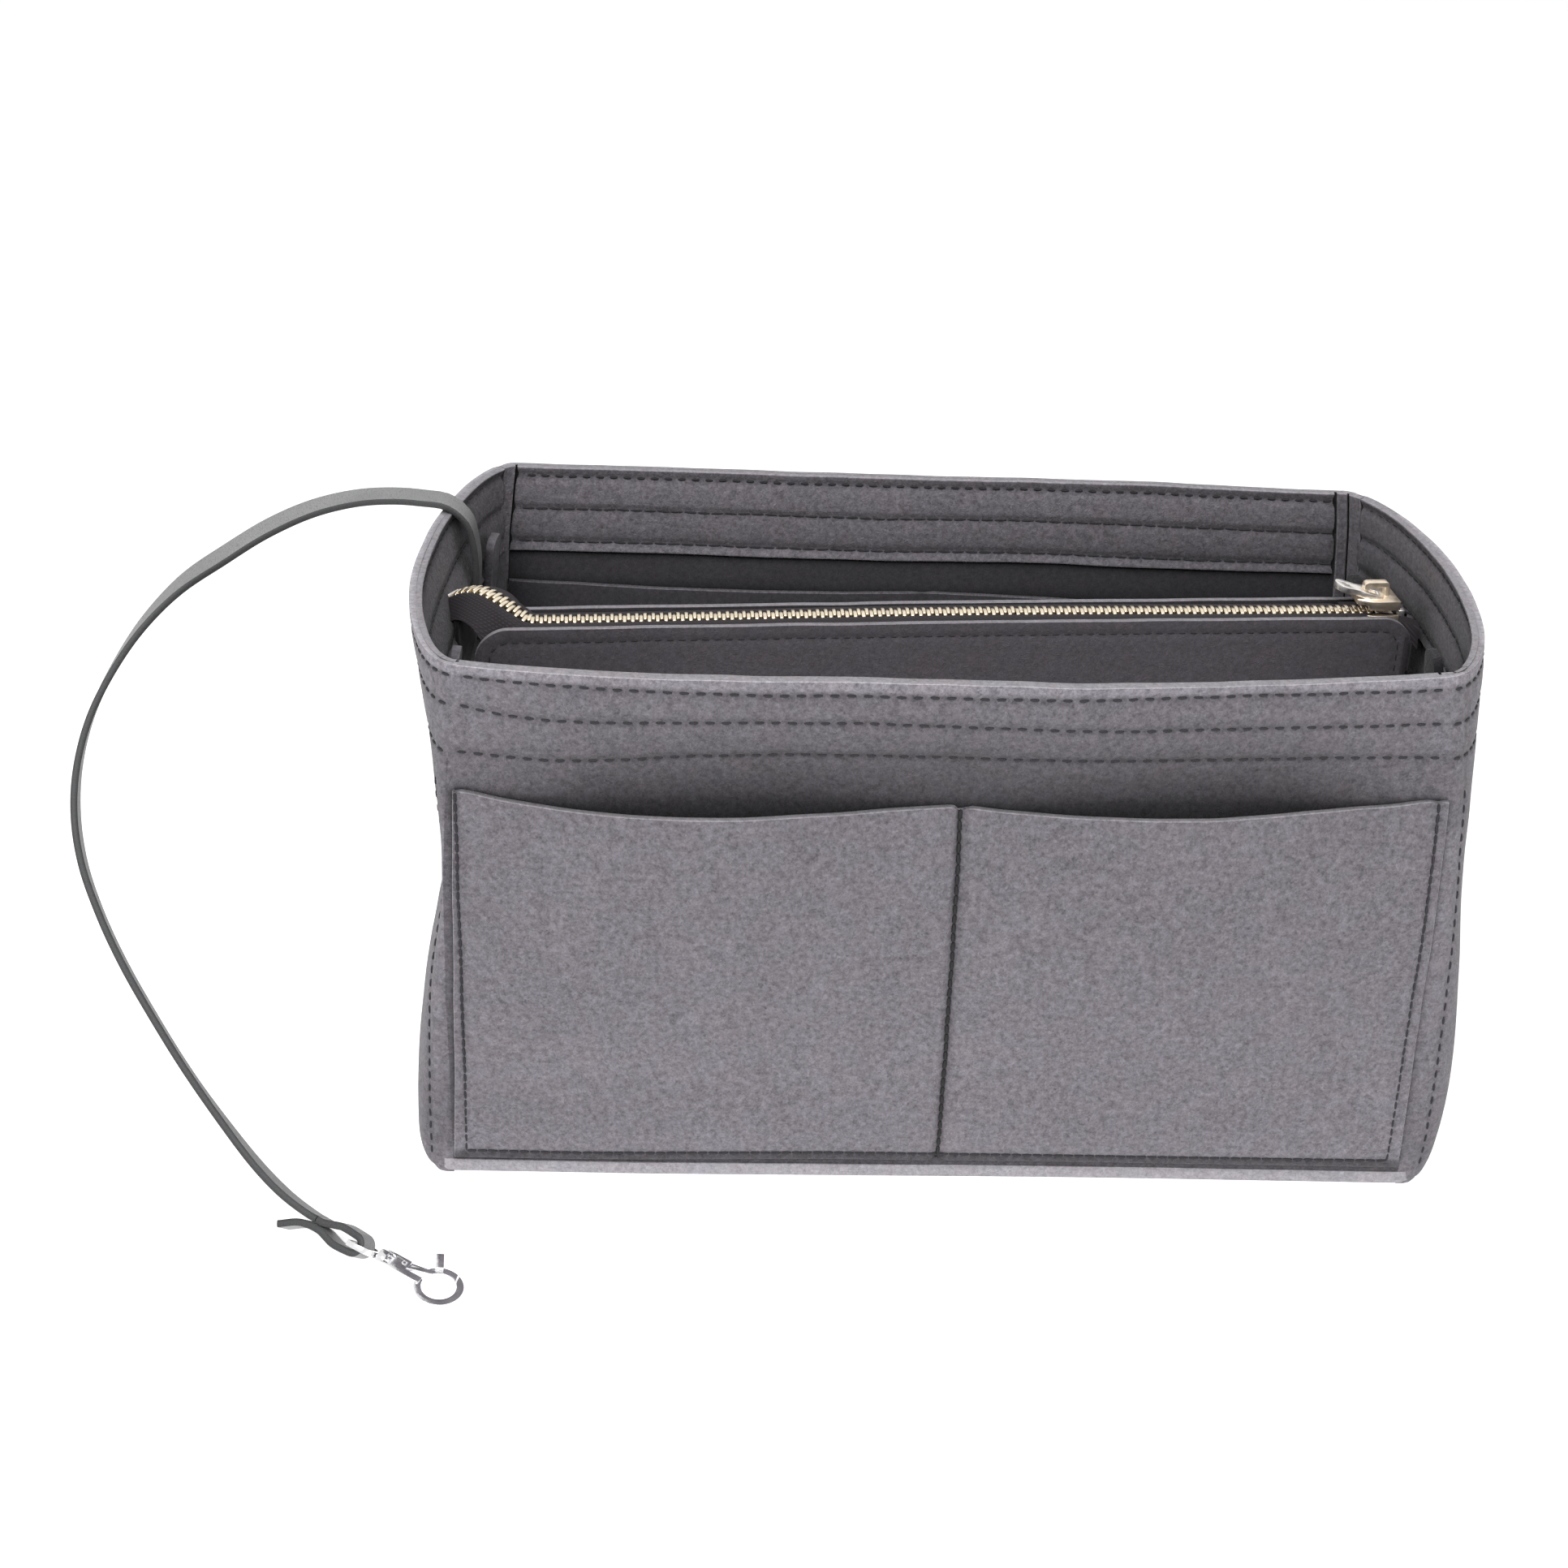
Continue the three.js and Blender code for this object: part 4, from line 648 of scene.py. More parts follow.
def feltSheet(name, us, vs, surface, outward, pressed, finish=settled, thickness=bag["felt"], edge=0.4,
              innerEdge=True, outerEdge=True, sideEdges=True, shadow=None):
    # A grid laid on the outer face, thickened inwards, pinched along its seams and settled, with its painted
    # shade kept in a 'shadow' attribute
    piece = gridPiece(name, us, vs, surface)
    middle = piece.data.polygons[len(piece.data.polygons) // 2]
    if middle.normal.dot(outward) < 0:
        editAll(piece, bpy.ops.mesh.flip_normals)
    outer = len(piece.data.vertices)
    shell = piece.modifiers.new("thickness", "SOLIDIFY")
    shell.thickness = thickness
    shell.offset = -1
    shell.use_even_offset = True
    shell.material_offset = 1
    shell.material_offset_rim = 2
    for _ in range(3):
        piece.data.materials.append(bagFelt)
    applyAll(piece)
    # only the cut edges that show are rounded
    borders = {}
    for face in piece.data.polygons:
        for key in face.edge_keys:
            borders.setdefault(key, []).append(face.normal.copy())
    weights = piece.data.attributes.new("bevel_weight_edge", "FLOAT", "EDGE")
    for border in piece.data.edges:
        a, b = border.vertices
        normals = borders[border.key]
        sharp = len(normals) == 2 and normals[0].dot(normals[1]) < 0.5
        shown = (a < outer and b < outer and outerEdge) or (a >= outer and b >= outer and innerEdge)
        run = piece.data.vertices[b].co - piece.data.vertices[a].co
        shown = shown and (sideEdges or abs(run.z) < 0.7 * run.length)
        weights.data[border.index].value = 1.0 if sharp and shown else 0.0
    addBevel(piece, edge, 3)
    piece.modifiers["edge"].limit_method = "WEIGHT"
    applyAll(piece)
    normals = [v.normal.copy() for v in piece.data.vertices]
    painted = piece.data.attributes.new("shadow", "FLOAT", "POINT")
    for index, (vertex, normal) in enumerate(zip(piece.data.vertices, normals)):
        depth = pressed(vertex.co)
        dark = depth * sewing["grooveShade"] + (shadow(vertex.co, normal) if shadow else 0)
        painted.data[index].value = min(dark, 0.9)
        vertex.co = finish(vertex.co - normal * depth) * mm
    smooth(piece, 60)
    return piece


def groove(distance, depth=sewing["grooveDepth"], width=sewing["grooveWidth"]):
    return depth * hill(distance, 0, width)


def threadTemplate(length, radius):
    deselectAll()
    bpy.ops.mesh.primitive_uv_sphere_add(segments=6, ring_count=6, radius=1)
    bead = bpy.context.object
    bead.data.transform(Matrix.Rotation(math.pi / 2, 4, "Y"))
    for v in bead.data.vertices:
        v.co = (math.copysign(abs(v.co.x) ** 0.7, v.co.x) * length / 2, v.co.y * radius, v.co.z * radius)
    return asTemplate(bead)


def stitchRows(name, runs, body, pitch=sewing["pitch"], dash=sewing["dash"], radius=sewing["threadRadius"],
               finish=settled, material=darkThread):
    # Each run gives points along a seam with the felt's outward direction; dashes are spaced along it
    shape, faces = threadTemplate(dash, radius)
    points, polygons = [], []
    for run in runs:
        places = [finish(p) for p, n in run]
        outs = [n for p, n in run]
        steps = [(b - a).length for a, b in zip(places, places[1:])]
        count = max(1, int(sum(steps) / pitch))
        gap = sum(steps) / count
        reached, k = 0.0, 0
        for index in range(count):
            target = (index + 0.5) * gap
            while k < len(steps) - 1 and reached + steps[k] < target:
                reached += steps[k]
                k += 1
            share = (target - reached) / steps[k]
            at = places[k].lerp(places[k + 1], share)
            along = (places[k + 1] - places[k]).normalized()
            out = outs[k].lerp(outs[k + 1], share)
            out = (out - along * out.dot(along)).normalized()
            slant = 0.06 * math.sin(index * 2.4)
            along = (along + out.cross(along) * slant).normalized()
            side = out.cross(along)
            base = len(points)
            points.extend((at + along * s.x + side * s.y + out * s.z) * mm for s in shape)
            polygons.extend(tuple(base + i for i in face) for face in faces)
    piece = newPiece(name, points, polygons)
    smooth(piece, 80)
    dress(piece, body, material)


seamRows = {
    "outside": [158.6, 150.1, 139.2],
    "inside": [160.1, 149.2, 138.1],
}


def nearestRow(z, rows="outside"):
    return min(abs(z - row) for row in seamRows[rows])


endSeam = 6.5       # the end panel's own row, round from its corner


def wallPress(co):
    free = min(1, abs(abs(co.x) - wallHalf(co.z)) / sewing["cornerFree"])
    return groove(nearestRow(co.z)) * free if co.z > hemFoot - 3 else 0


# Painted shade on the felt at each height; below 0 it is a painted highlight, where light comes back to it
shades = {
    "band": ([-12, -8, 1, 2.5, 7, 14, 22, 30], [0, 0.7, 0.78, 0.68, 0.6, 0.46, 0.33, 0.24]),   # over a mouth
    "rim": ([158.5, 160.5], [0, -0.45]),
    "wallFoot": ([6, 9], [0.5, 0]),
    "hem": ([137.5, 139.5, 147.5, 149.5], [-0.1, 0.2, 0.12, 0]),
    "pocket": ([10, 25, 60, 100, 125], [-0.3, -0.06, 0.08, 0.13, 0.17]),
}


def shadeAt(kind, height):
    return float(np.interp(height, *shades[kind]))


def makeWalls():
    zs = levels(2.3, bag["height"], 3.2, seamRows["outside"])
    for side, word in frontAndBack:
        def surface(u, z):
            return wallPoint(side, wallHalf(z) * (2 * u - 1), z)

        def shadow(co, normal):
            # painted shade over the pockets' mouths, in a strip beside the left pocket's edge and at the
            # foot, with a painted highlight along the rim
            if normal.y * side < 0.4:
                return 0
            dark = shadeAt("band", co.z - mouthHeight(co.x)) * mix(0.4, 1, climb(134 - abs(co.x), 0, 40))
            edge = 0.35 if co.x < -131 and 9 < co.z < 127 else 0
            return max(dark, shadeAt("wallFoot", co.z), edge) + shadeAt("rim", co.z)

        wall = feltSheet(word + "Wall", evenly(96), zs, surface, Vector((0, side, 0)), wallPress,
                         innerEdge=False, sideEdges=False, shadow=shadow)
        dress(wall, "bag", feltSides, [word + "_wall"])


def turnsFor(count, reach=math.pi / 2):
    return [mix(-reach, reach, at) for at in evenly(count)]


def makeEndPanels():
    zs = [0, 0.12, 0.5, 1.1, 2, 3.2, 4.6, 6.2, 8, 10] + levels(12.5, bag["height"], 3.2, seamRows["outside"])
    for side, word in leftAndRight:
        def press(co):
            depth = wallPress(co)
            fromCorner = abs(co.x) - wallHalf(co.z)
            if abs(co.y) > 40 and fromCorner > 0.5:
                seam = math.hypot(fromCorner, abs(co.y) - endHalfDepth) - endSeam
                depth = max(depth, groove(seam, 0.4, 1.3))
            return depth

        def shadow(co, normal):
            # painted shade on the outside near the corners, as on the walls, with a painted highlight along
            # the rim
            fromCorner = abs(co.x) - wallHalf(co.z)
            near = max(0, 1 - abs(fromCorner) / 10)
            outside = Vector((side * max(0, fromCorner), co.y, 0)).dot(normal) > 0
            return shadeAt("band", co.z - 127) * 0.4 * near + shadeAt("rim", co.z) if outside else 0

        panel = feltSheet(word + "EndPanel", turnsFor(84), zs, lambda t, z: endPoint(side, t, z),
                          Vector((side, 0, 0)), press, innerEdge=False, sideEdges=False, shadow=shadow)
        dress(panel, "bag", endSides, [word + "_end_panel"])


hemSetup = {
    "lap": 0.1,
    "wallEnd": {-1: 0.3, 1: 2.8},          # from the corner, by side
    "endStart": {-1: 5.2, 1: 6.6},
    "corners": {-1: [(0.6, 4.6)], 1: [(-2.0, 1.5), (2.4, 5.8)]},
    "cornerDrop": 15,
}


def hemTurn(side):
    return math.acos((hemSetup["endStart"][side] / bag["endBulge"]) ** 0.95)


def cornerPoint(side, hand, along, z, inset):
    # along is measured from the corner, onto the end panel when positive and onto the wall when negative
    if along < 0:
        return wallPoint(hand, side * (wallHalf(z) + along), z, inset)
    power = endPower(side, z) / 2
    turn = math.acos(min(1, along / (endBulge(side, z) - inset)) ** power)
    return endPoint(side, hand * turn, z, inset)


def makeHems():
    zs = levels(hemFoot, bag["height"], 2.2, seamRows["inside"])
    low = levels(hemFoot - hemSetup["cornerDrop"], bag["height"], 3, seamRows["inside"])
    near = bag["felt"] - hemSetup["lap"]

    def press(co):
        return groove(nearestRow(co.z, "inside"), 0.8, 1.6)

    def shadow(co, normal):
        return shadeAt("hem", co.z)

    def makeHem(word, us, surface, outward):
        hem = feltSheet(word + "Hem", us, zs, surface, outward, press, edge=0.7, outerEdge=False,
                        shadow=shadow)
        dress(hem, "bag", hemSides, [word + "_hem"])

    left, right = (hemSetup["wallEnd"][end] for end in (-1, 1))
    for side, word in frontAndBack:
        def surface(u, z):
            return wallPoint(side, mix(left - wallHalf(z), wallHalf(z) - right, u), z, near)

        makeHem(word, evenly(96), surface, Vector((0, side, 0)))
    for side, word in leftAndRight:
        turns = turnsFor(84, hemTurn(side))
        makeHem(word, turns, lambda t, z: endPoint(side, t, z, near), Vector((side, 0, 0)))
        # narrow folded strips close the corners between the hems
        for hand, end in ((-1, "Front"), (1, "Back")):
            for index, (start, stop) in enumerate(hemSetup["corners"][side]):
                us = [mix(start, stop, at) for at in evenly(8)]
                strip = feltSheet(word + end + "Strip%d" % index, us, low,
                                  lambda a, z: cornerPoint(side, hand, a, z, near),
                                  Vector((side * 0.3, hand, 0)), lambda co: 0,
                                  thickness=bag["felt"] * 0.8, edge=0.5, outerEdge=False)
                dress(strip, "bag", hemSides)


pocketSetup = {
    "outerLeft": (-137.4, -132.5),         # at the foot and at the mouth
    "outerRight": (136.8, 134.4),
    "seamInLeft": (3.6, 0.9),
    "seamInRight": (3.6, 2.4),
    # mouth heights from the middle seam out to each corner
    "mouthLeft": [124.4, 123.8, 123.4, 123.2, 123.1, 122.9, 122.7, 122.6, 123.2, 124.8, 127.7],
    "mouthRight": [124.4, 123.5, 123.2, 123.4, 123.7, 123.9, 124.1, 124.3, 124.5, 125.1, 126.8],
    "outerGape": 2.6,
    "middleSeam": 2.5,
    "sewnHalf": 131,
    "innerTop": 124.4,
    "innerDrop": 0.5,
    "innerSag": 1.2,
    "foot": 6.8,
    "footSeamIn": 2.4,
    "innerFoot": 6,
}


def pocketSize(key, v):
    return mix(*pocketSetup[key], min(max(v, 0), 1))


def pocketTop(share, top, drop, sag):
    s = abs(share)
    return top - drop * (1 - s) - 4 * sag * s * (1 - s)


def mouthTop(share):
    return between(pocketSetup["mouthLeft" if share < 0 else "mouthRight"], abs(share))


def mouthHeight(x):
    left, right = pocketSetup["outerLeft"][1], pocketSetup["outerRight"][1]
    return mouthTop(min(1, max(-1, 2 * (x - left) / (right - left) - 1)))


def outerPocketPoint(side, share, v, inset=0.0):
    # share from -1 at the left edge to 1 at the right, v from the foot to the mouth
    p = pocketSetup
    z = mix(p["foot"], mouthTop(share), v)
    swell = math.sin(math.pi * min(abs(share), 1)) ** 2
    out = p["outerGape"] * swell * v * v + 0.8 * math.sin(math.pi * v) * swell
    x = mix(pocketSize("outerLeft", v), pocketSize("outerRight", v), (share + 1) / 2)
    return wallPoint(side, x, z, inset - bag["gap"] * 0.4 - bag["felt"] - out)


def makePockets():
    p = pocketSetup
    for side, word in frontAndBack:
        out = Vector((0, side, 0))
        us = sorted({*evenly(110), 0.003, 0.006, 0.994, 0.997, 0.5 - 0.004, 0.5 + 0.004})
        vs = [0, 0.006, 0.012, 0.02, 0.03] + [0.045 + 0.955 * v for v in evenly(40)]

        def press(co):
            v = (co.z - p["foot"]) / (p["mouthLeft"][0] - p["foot"])
            inSide = min(co.x - pocketSize("outerLeft", v) - pocketSize("seamInLeft", v),
                         pocketSize("outerRight", v) - co.x - pocketSize("seamInRight", v))
            reach = min(inSide, co.z - p["foot"] - p["footSeamIn"])
            return max(groove(reach, 0.5, 1.0), groove(co.x - p["middleSeam"], 1.0, 1.2))

        def shadow(co, normal):
            # painted highlight low down, where light comes back up from the floor, and painted shade along
            # the foot and towards the mouth
            foot = 0.5 * min(1, max(0, (p["foot"] + p["footSeamIn"] + 0.6 - co.z) / 1.2))
            return foot or shadeAt("pocket", co.z)

        def outer(u, v):
            return outerPocketPoint(side, 2 * u - 1, v)

        def inner(u, v):
            share = 2 * u - 1
            z = mix(p["innerFoot"], pocketTop(share, p["innerTop"], p["innerDrop"], p["innerSag"]), v)
            gape = 1.2 * math.sin(math.pi * abs(share)) ** 2 * v * v
            return wallPoint(side, share * (wallHalf(z) - 1), z, bag["felt"] + gape)

        pocket = feltSheet(word + "OuterPocket", us, vs, outer, out, press, pocketSettled, shadow=shadow)
        dress(pocket, "bag", hemSides, [word + "_outer_pocket"])
        pocket = feltSheet(word + "InnerPocket", evenly(80), evenly(36), inner, out,
                           lambda co: groove(co.x, 0.4, 1.1))
        dress(pocket, "bag", insideShadeSides, [word + "_inner_pocket"])


def makeBase():
    # The floor: cut edges turned up at the front and the back, and ends rounded under the end panels
    halfY = bag["depth"] / 2 + 0.5
    left, right = (endPoint(side, 0, 0).x - side * 1.6 for side in (-1, 1))
    corner = wallHalf(0)
    lip, felt = bag["lipRise"], bag["felt"]
    half = [(halfY - 1.6, 0), (halfY - 0.5, 0.5), (halfY, 1.6), (halfY, lip), (halfY - felt, lip),
            (halfY - felt, felt)]
    profile = [(-y, z) for y, z in reversed(half)] + half
    profile = profile[1:] + profile[:1]
    steps = 80

    def stretch():
        bpy.ops.mesh.extrude_region_move(TRANSFORM_OT_translate={"value": (2 / steps, 0, 0)})

    deselectAll()
    bpy.ops.mesh.primitive_circle_add(vertices=len(profile), radius=1, fill_type="NGON")
    base = bpy.context.object
    base.name = "baseFelt"
    for vertex, (y, z) in zip(base.data.vertices, profile):
        vertex.co = (-1, y, z)
    editAll(base, *[stretch] * steps, lambda: bpy.ops.mesh.select_all(action="SELECT"), turnOut)
    for vertex in base.data.vertices:
        swing = math.sin(min(1, max(-1, vertex.co.x)) * math.pi / 2)
        vertex.co.x = mix(left, right, (swing + 1) / 2)
        end = right if swing > 0 else -left
        past = max(0, abs(vertex.co.x) - corner) / (end - corner) * 0.99
        power = endPower(math.copysign(1, swing), 0)
        if vertex.co.y < 0:
            vertex.co.y += footDraw(vertex.co.x)
        vertex.co.y *= (1 - past ** power) ** (1 / power)
    addBevel(base, 0.4, 2, 50)
    applyAll(base)
    for vertex in base.data.vertices:
        vertex.co.y += noise.noise_vector(vertex.co / 30).y * 0.4 * min(1, abs(vertex.co.z) / 2)
        vertex.co *= mm
    smooth(base, 60)
    dress(base, "bag", bagEdgeHighlight, ["base_tray"])


def curve(function, low, high, count):
    return [function(mix(low, high, at)) for at in evenly(count)]


def makeBagStitches():
    runs, inner, sunk = [], [], []
    deep = 2 * bag["felt"] - hemSetup["lap"] - 0.7
    for side in (-1, 1):
        out = Vector((0, side, 0))
        for row in seamRows["outside"]:
            half = wallHalf(row) - 1.2
            runs.append(curve(lambda x: (wallPoint(side, x, row, 0.5), out), -half, half, 120))
        for row in seamRows["inside"]:
            half = wallHalf(row) - 3
            rows = inner if row > 150 else sunk
            rows.append(curve(lambda x: (wallPoint(side, x, row, deep), -out), -half, half, 120))
    for side in (-1, 1):
        def facing(turn):
            return Vector((side * math.cos(turn), math.sin(turn), 0))

        last = math.pi / 2 - 0.03
        for row in seamRows["outside"]:
            runs.append(curve(lambda t: (endPoint(side, t, row, 0.45), facing(t)), -last, last, 120))
        last = hemTurn(side) - 0.05
        for row in seamRows["inside"]:
            sunk.append(curve(lambda t: (endPoint(side, t, row, deep), -facing(t)), -last, last, 120))
        # the row down each end panel beside its corners
        for hand in (-1, 1):
            def beside(z):
                turns = [hand * (math.pi / 2 - k / 200) for k in range(200)]
                corner = endPoint(side, hand * math.pi / 2, z)
                turn = next(t for t in turns if (endPoint(side, t, z) - corner).length > endSeam)
                return endPoint(side, turn, z, 0.3), facing(turn)
            runs.append(curve(beside, 5, 129, 70))
    stitchRows("outsideStitches", runs, "bag")
    stitchRows("insideStitches", inner, "bag")
    stitchRows("sunkStitches", sunk, "bag", dash=3.9, radius=0.26)
    p = pocketSetup
    rim, middle = [], []
    for side in (-1, 1):
        out = Vector((0, side, 0))
        foot = p["footSeamIn"] / (p["mouthLeft"][0] - p["foot"])

        def edge(hand, v):
            seamIn = pocketSize("seamInLeft" if hand < 0 else "seamInRight", v)
            return hand * (1 - seamIn * 2 / (pocketSize("outerRight", v) - pocketSize("outerLeft", v)))

        def centre(v):
            left, right = pocketSize("outerLeft", v), pocketSize("outerRight", v)
            return 2 * (p["middleSeam"] - left) / (right - left) - 1

        for hand in (-1, 1):
            rim.append(curve(lambda v: (outerPocketPoint(side, edge(hand, v), v, 0.3), out), foot, 0.995, 60))
        rim.append(curve(lambda share: (outerPocketPoint(side, share, foot, 0.3), out),
                         edge(-1, foot), edge(1, foot), 120))
        middle.append(curve(lambda v: (outerPocketPoint(side, centre(v), v, 0.55), out), foot, 0.995, 60))
    stitchRows("pocketStitches", rim, "bag", pitch=3.0, dash=2.8, radius=0.42, finish=pocketSettled)
    stitchRows("pocketMiddleStitches", middle, "bag", pitch=3.0, dash=3.05, radius=0.6, finish=pocketSettled,
               material=shadedThread)


makeWalls()
makeEndPanels()
makeHems()
makePockets()
makeBase()
makeBagStitches()
print("felt body sewn")

# Pouch

pouch = {
    "yaw": 4.6,
    "centre": (2.2, 5.0),
    "left": 136.9,
    "right": 139.6,
    "foot": 22,
    "top": 145.5,
    "cornerRadius": 10,
    "footRadius": 8,
    "inner": 12,
    "seamIn": 4.2,
}
pouchPlace = (Matrix.Translation((*pouch["centre"], 0))
              @ Matrix.Rotation(math.radians(pouch["yaw"]), 4, "Z"))


def pouchReach(z, half):
    # How far a panel reaches from its middle at a height, with its rounded corners
    low, high = z - pouch["foot"], pouch["top"] - z
    for left, r in ((high, pouch["cornerRadius"]), (low, pouch["footRadius"])):
        if left < r:
            half -= r - math.sqrt(max(0, r * r - (r - left) ** 2))
    return half


def pouchSettled(p):
    moved = pouchPlace @ p
    moved.z += 0.5 * (1 - ((p.x - 4) / 130) ** 2) * heightShare(p.z)
    return moved + noise.noise_vector(moved / 14) * 0.15


def makePouch():
    near = pouch["inner"] / 2 + 0.3 + bag["felt"]
    r, seam, top, foot = (pouch[key] for key in ("cornerRadius", "seamIn", "top", "foot"))
    zs = [foot + k for k in (0, 0.3, 1, 2, 3.5, 5.5, 8)]
    zs += [mix(30, 133, at) for at in evenly(36)[1:-1]]
    zs += [top - k for k in (11, 9.4, 8, 6.4, 5.4, 4.6, 4.2, 3.8, 3, 2, 1.2, 0.6, 0.25, 0)]
    us = sorted({*evenly(90), 0.008, 0.016, 0.022, 0.03, 0.97, 0.978, 0.984, 0.992})
    bend = [math.pi / 2 * k / 10 for k in range(1, 10)]
    for side, word in frontAndBack:
        left, right = pouch["left"], pouch["right"] if side < 0 else pouch["left"]

        def surface(u, z):
            x = mix(-pouchReach(z, left), pouchReach(z, right), u)
            bow = 0.7 * (1 - (2 * u - 1) ** 2) * math.sin(math.pi * (z - foot) / (top - foot))
            return Vector((x, side * (near + bow), z))

        def press(co):
            inTop = top - co.z
            inSide = min(co.x + left, right - co.x)
            reach = r - math.hypot(r - inTop, r - inSide) if inTop < r and inSide < r else min(inTop, inSide)
            return groove(reach - seam, 0.35, 1.0)

        panel = feltSheet(word + "PouchPanel", us, zs, surface, Vector((0, side, 0)), press, pouchSettled,
                          edge=0.35)
        dress(panel, "pouch", pouchSides, ["pouch_%s_panel" % word])
        run = [(seam - left, mix(foot + 10, top - r, at)) for at in evenly(29)]
        run += [(-left + r - (r - seam) * math.cos(a), top - r + (r - seam) * math.sin(a)) for a in bend]
        run += [(mix(-left + r, right - r, at), top - seam) for at in evenly(59)]
        run += [(right - r + (r - seam) * math.sin(a), top - r + (r - seam) * math.cos(a)) for a in bend]
        run += [(right - seam, mix(top - r, foot + 10, at)) for at in evenly(29)]
        out = pouchPlace.to_3x3() @ Vector((0, side, 0))
        seamLine = [(Vector((x, side * (near - 0.3), z)), out) for x, z in run]
        stitchRows(word + "PouchStitches", [seamLine], "pouch", pitch=3.4, dash=2.2, radius=0.2,
                   finish=pouchSettled)


makePouch()
print("pouch sewn")

# Zip

zipSetup = {
    "height": 144.5,
    "start": -119.5,
    "end": 130,
    "arch": 0.9,           # the middle of the chain stands this much above its ends
    "pitch": 2.4,
    "toothThickness": 1.05,
    "toothHeight": 2.6,
    "reach": 1.4,
    "beadOuter": 2.9,
    "tail": [(-119.5, 0, 144.5), (-121.6, 0.3, 144.75), (-123.6, 1.0, 145.8), (-125.6, 1.9, 147.0),
             (-127.9, 3.3, 148.2), (-130.6, 5.2, 149.3), (-133.4, 7.4, 149.95), (-136, 9.3, 150.05),
             (-138.6, 11.2, 149.3), (-140.9, 12.8, 148.0), (-143, 14.2, 146.6)],
}


class SmoothLine:
    # A smooth line through points, read by its own length
    def __init__(self, points, samples=400):
        self.points = [Vector(p) for p in points]
        self.places = [self.raw(k / samples) for k in range(samples + 1)]
        self.lengths = [0.0]
        for a, b in zip(self.places, self.places[1:]):
            self.lengths.append(self.lengths[-1] + (b - a).length)
        self.length = self.lengths[-1]

    def raw(self, t):
        pts = self.points
        spans = len(pts) - 1
        k = min(int(t * spans), spans - 1)
        w = t * spans - k
        p1, p2 = pts[k], pts[k + 1]
        p0 = pts[k - 1] if k > 0 else p1 * 2 - p2
        p3 = pts[k + 2] if k + 2 <= spans else p2 * 2 - p1
        d0, d1, d2 = (max((b - a).length ** 0.5, 1e-6) for a, b in ((p0, p1), (p1, p2), (p2, p3)))
        m1 = ((p1 - p0) / d0 - (p2 - p0) / (d0 + d1) + (p2 - p1) / d1) * d1
        m2 = ((p2 - p1) / d1 - (p3 - p1) / (d1 + d2) + (p3 - p2) / d2) * d1
        return (p1 * (2 * w ** 3 - 3 * w ** 2 + 1) + m1 * (w ** 3 - 2 * w ** 2 + w)
                + p2 * (3 * w ** 2 - 2 * w ** 3) + m2 * (w ** 3 - w ** 2))

    def at(self, share):
        target = min(max(share, 0), 1) * self.length
        k = int(np.searchsorted(self.lengths, target)) - 1
        k = min(max(k, 0), len(self.places) - 2)
        step = self.lengths[k + 1] - self.lengths[k]
        return self.places[k].lerp(self.places[k + 1], (target - self.lengths[k]) / max(step, 1e-9))

    def direction(self, share):
        a, b = self.at(max(share - 0.004, 0)), self.at(min(share + 0.004, 1))
        return (b - a).normalized()


chainTail = SmoothLine(zipSetup["tail"])
chainStraight = zipSetup["end"] - zipSetup["start"]
chainLength = chainStraight + chainTail.length


def chainFrame(distance):
    if distance <= chainStraight:
        rise = zipSetup["arch"] * math.sin(math.pi * distance / chainStraight) ** 2
        return pouchPlace @ Matrix.Translation((zipSetup["end"] - distance, 0, zipSetup["height"] + rise))
    share = min((distance - chainStraight) / chainTail.length, 1)
    along = -chainTail.direction(share)
    side = Vector((0, 0, 1)).cross(along).normalized()
    lift = along.cross(side)
    turn = Matrix((along, side, lift)).transposed().to_4x4()
    return pouchPlace @ Matrix.Translation(chainTail.at(share)) @ turn


def toothTemplate():
    # Legs clamped on the cord, a waist, and a head with a rounded crown
    s = zipSetup
    deselectAll()
    bpy.ops.mesh.primitive_cube_add(size=1)
    tooth = bpy.context.object
    editAll(tooth, lambda: bpy.ops.mesh.subdivide(number_cuts=2))
    for v in tooth.data.vertices:
        along, across, up = v.co
        width, tall = s["toothThickness"], s["toothHeight"]
        if across > 0.4:
            width, tall = width * 0.9, tall * 0.7
        elif across < -0.4:
            width, tall = width * 0.8, tall * 0.75
        v.co = (along * width, mix(-s["reach"], s["beadOuter"], across + 0.5), up * tall)
    addBevel(tooth, 0.16, 1, 25)
    applyAll(tooth)
    return asTemplate(tooth)


def makeTeeth():
    shape, faces = toothTemplate()
    s = zipSetup
    for side, word in frontAndBack:
        points, polygons = [], []
        offset = s["toothThickness"] / 2 + (0 if side < 0 else s["pitch"] / 2)
        count = int((chainLength - offset - s["toothThickness"] / 2) / s["pitch"])
        for k in range(count + 1):
            place = chainFrame(offset + k * s["pitch"])
            base = len(points)
            points.extend((place @ Vector((p.x, side * p.y, p.z))) * mm for p in shape)
            polygons.extend(tuple(base + i for i in (face if side > 0 else reversed(face))) for face in faces)
        piece = newPiece(word + "Teeth", points, polygons)
        smooth(piece, 40)
        dress(piece, "pouch", zipGold, ["zip_%s_teeth" % word])


tapeSetup = {
    "rightTail": 12,       # past the end of the chain
    "leg": 12.5,           # down inside the pouch
    "flapWidth": 10.5,     # of the front tape where it spreads over the tail
    "flapEnd": 8.5,
    "thickness": 0.6,
}


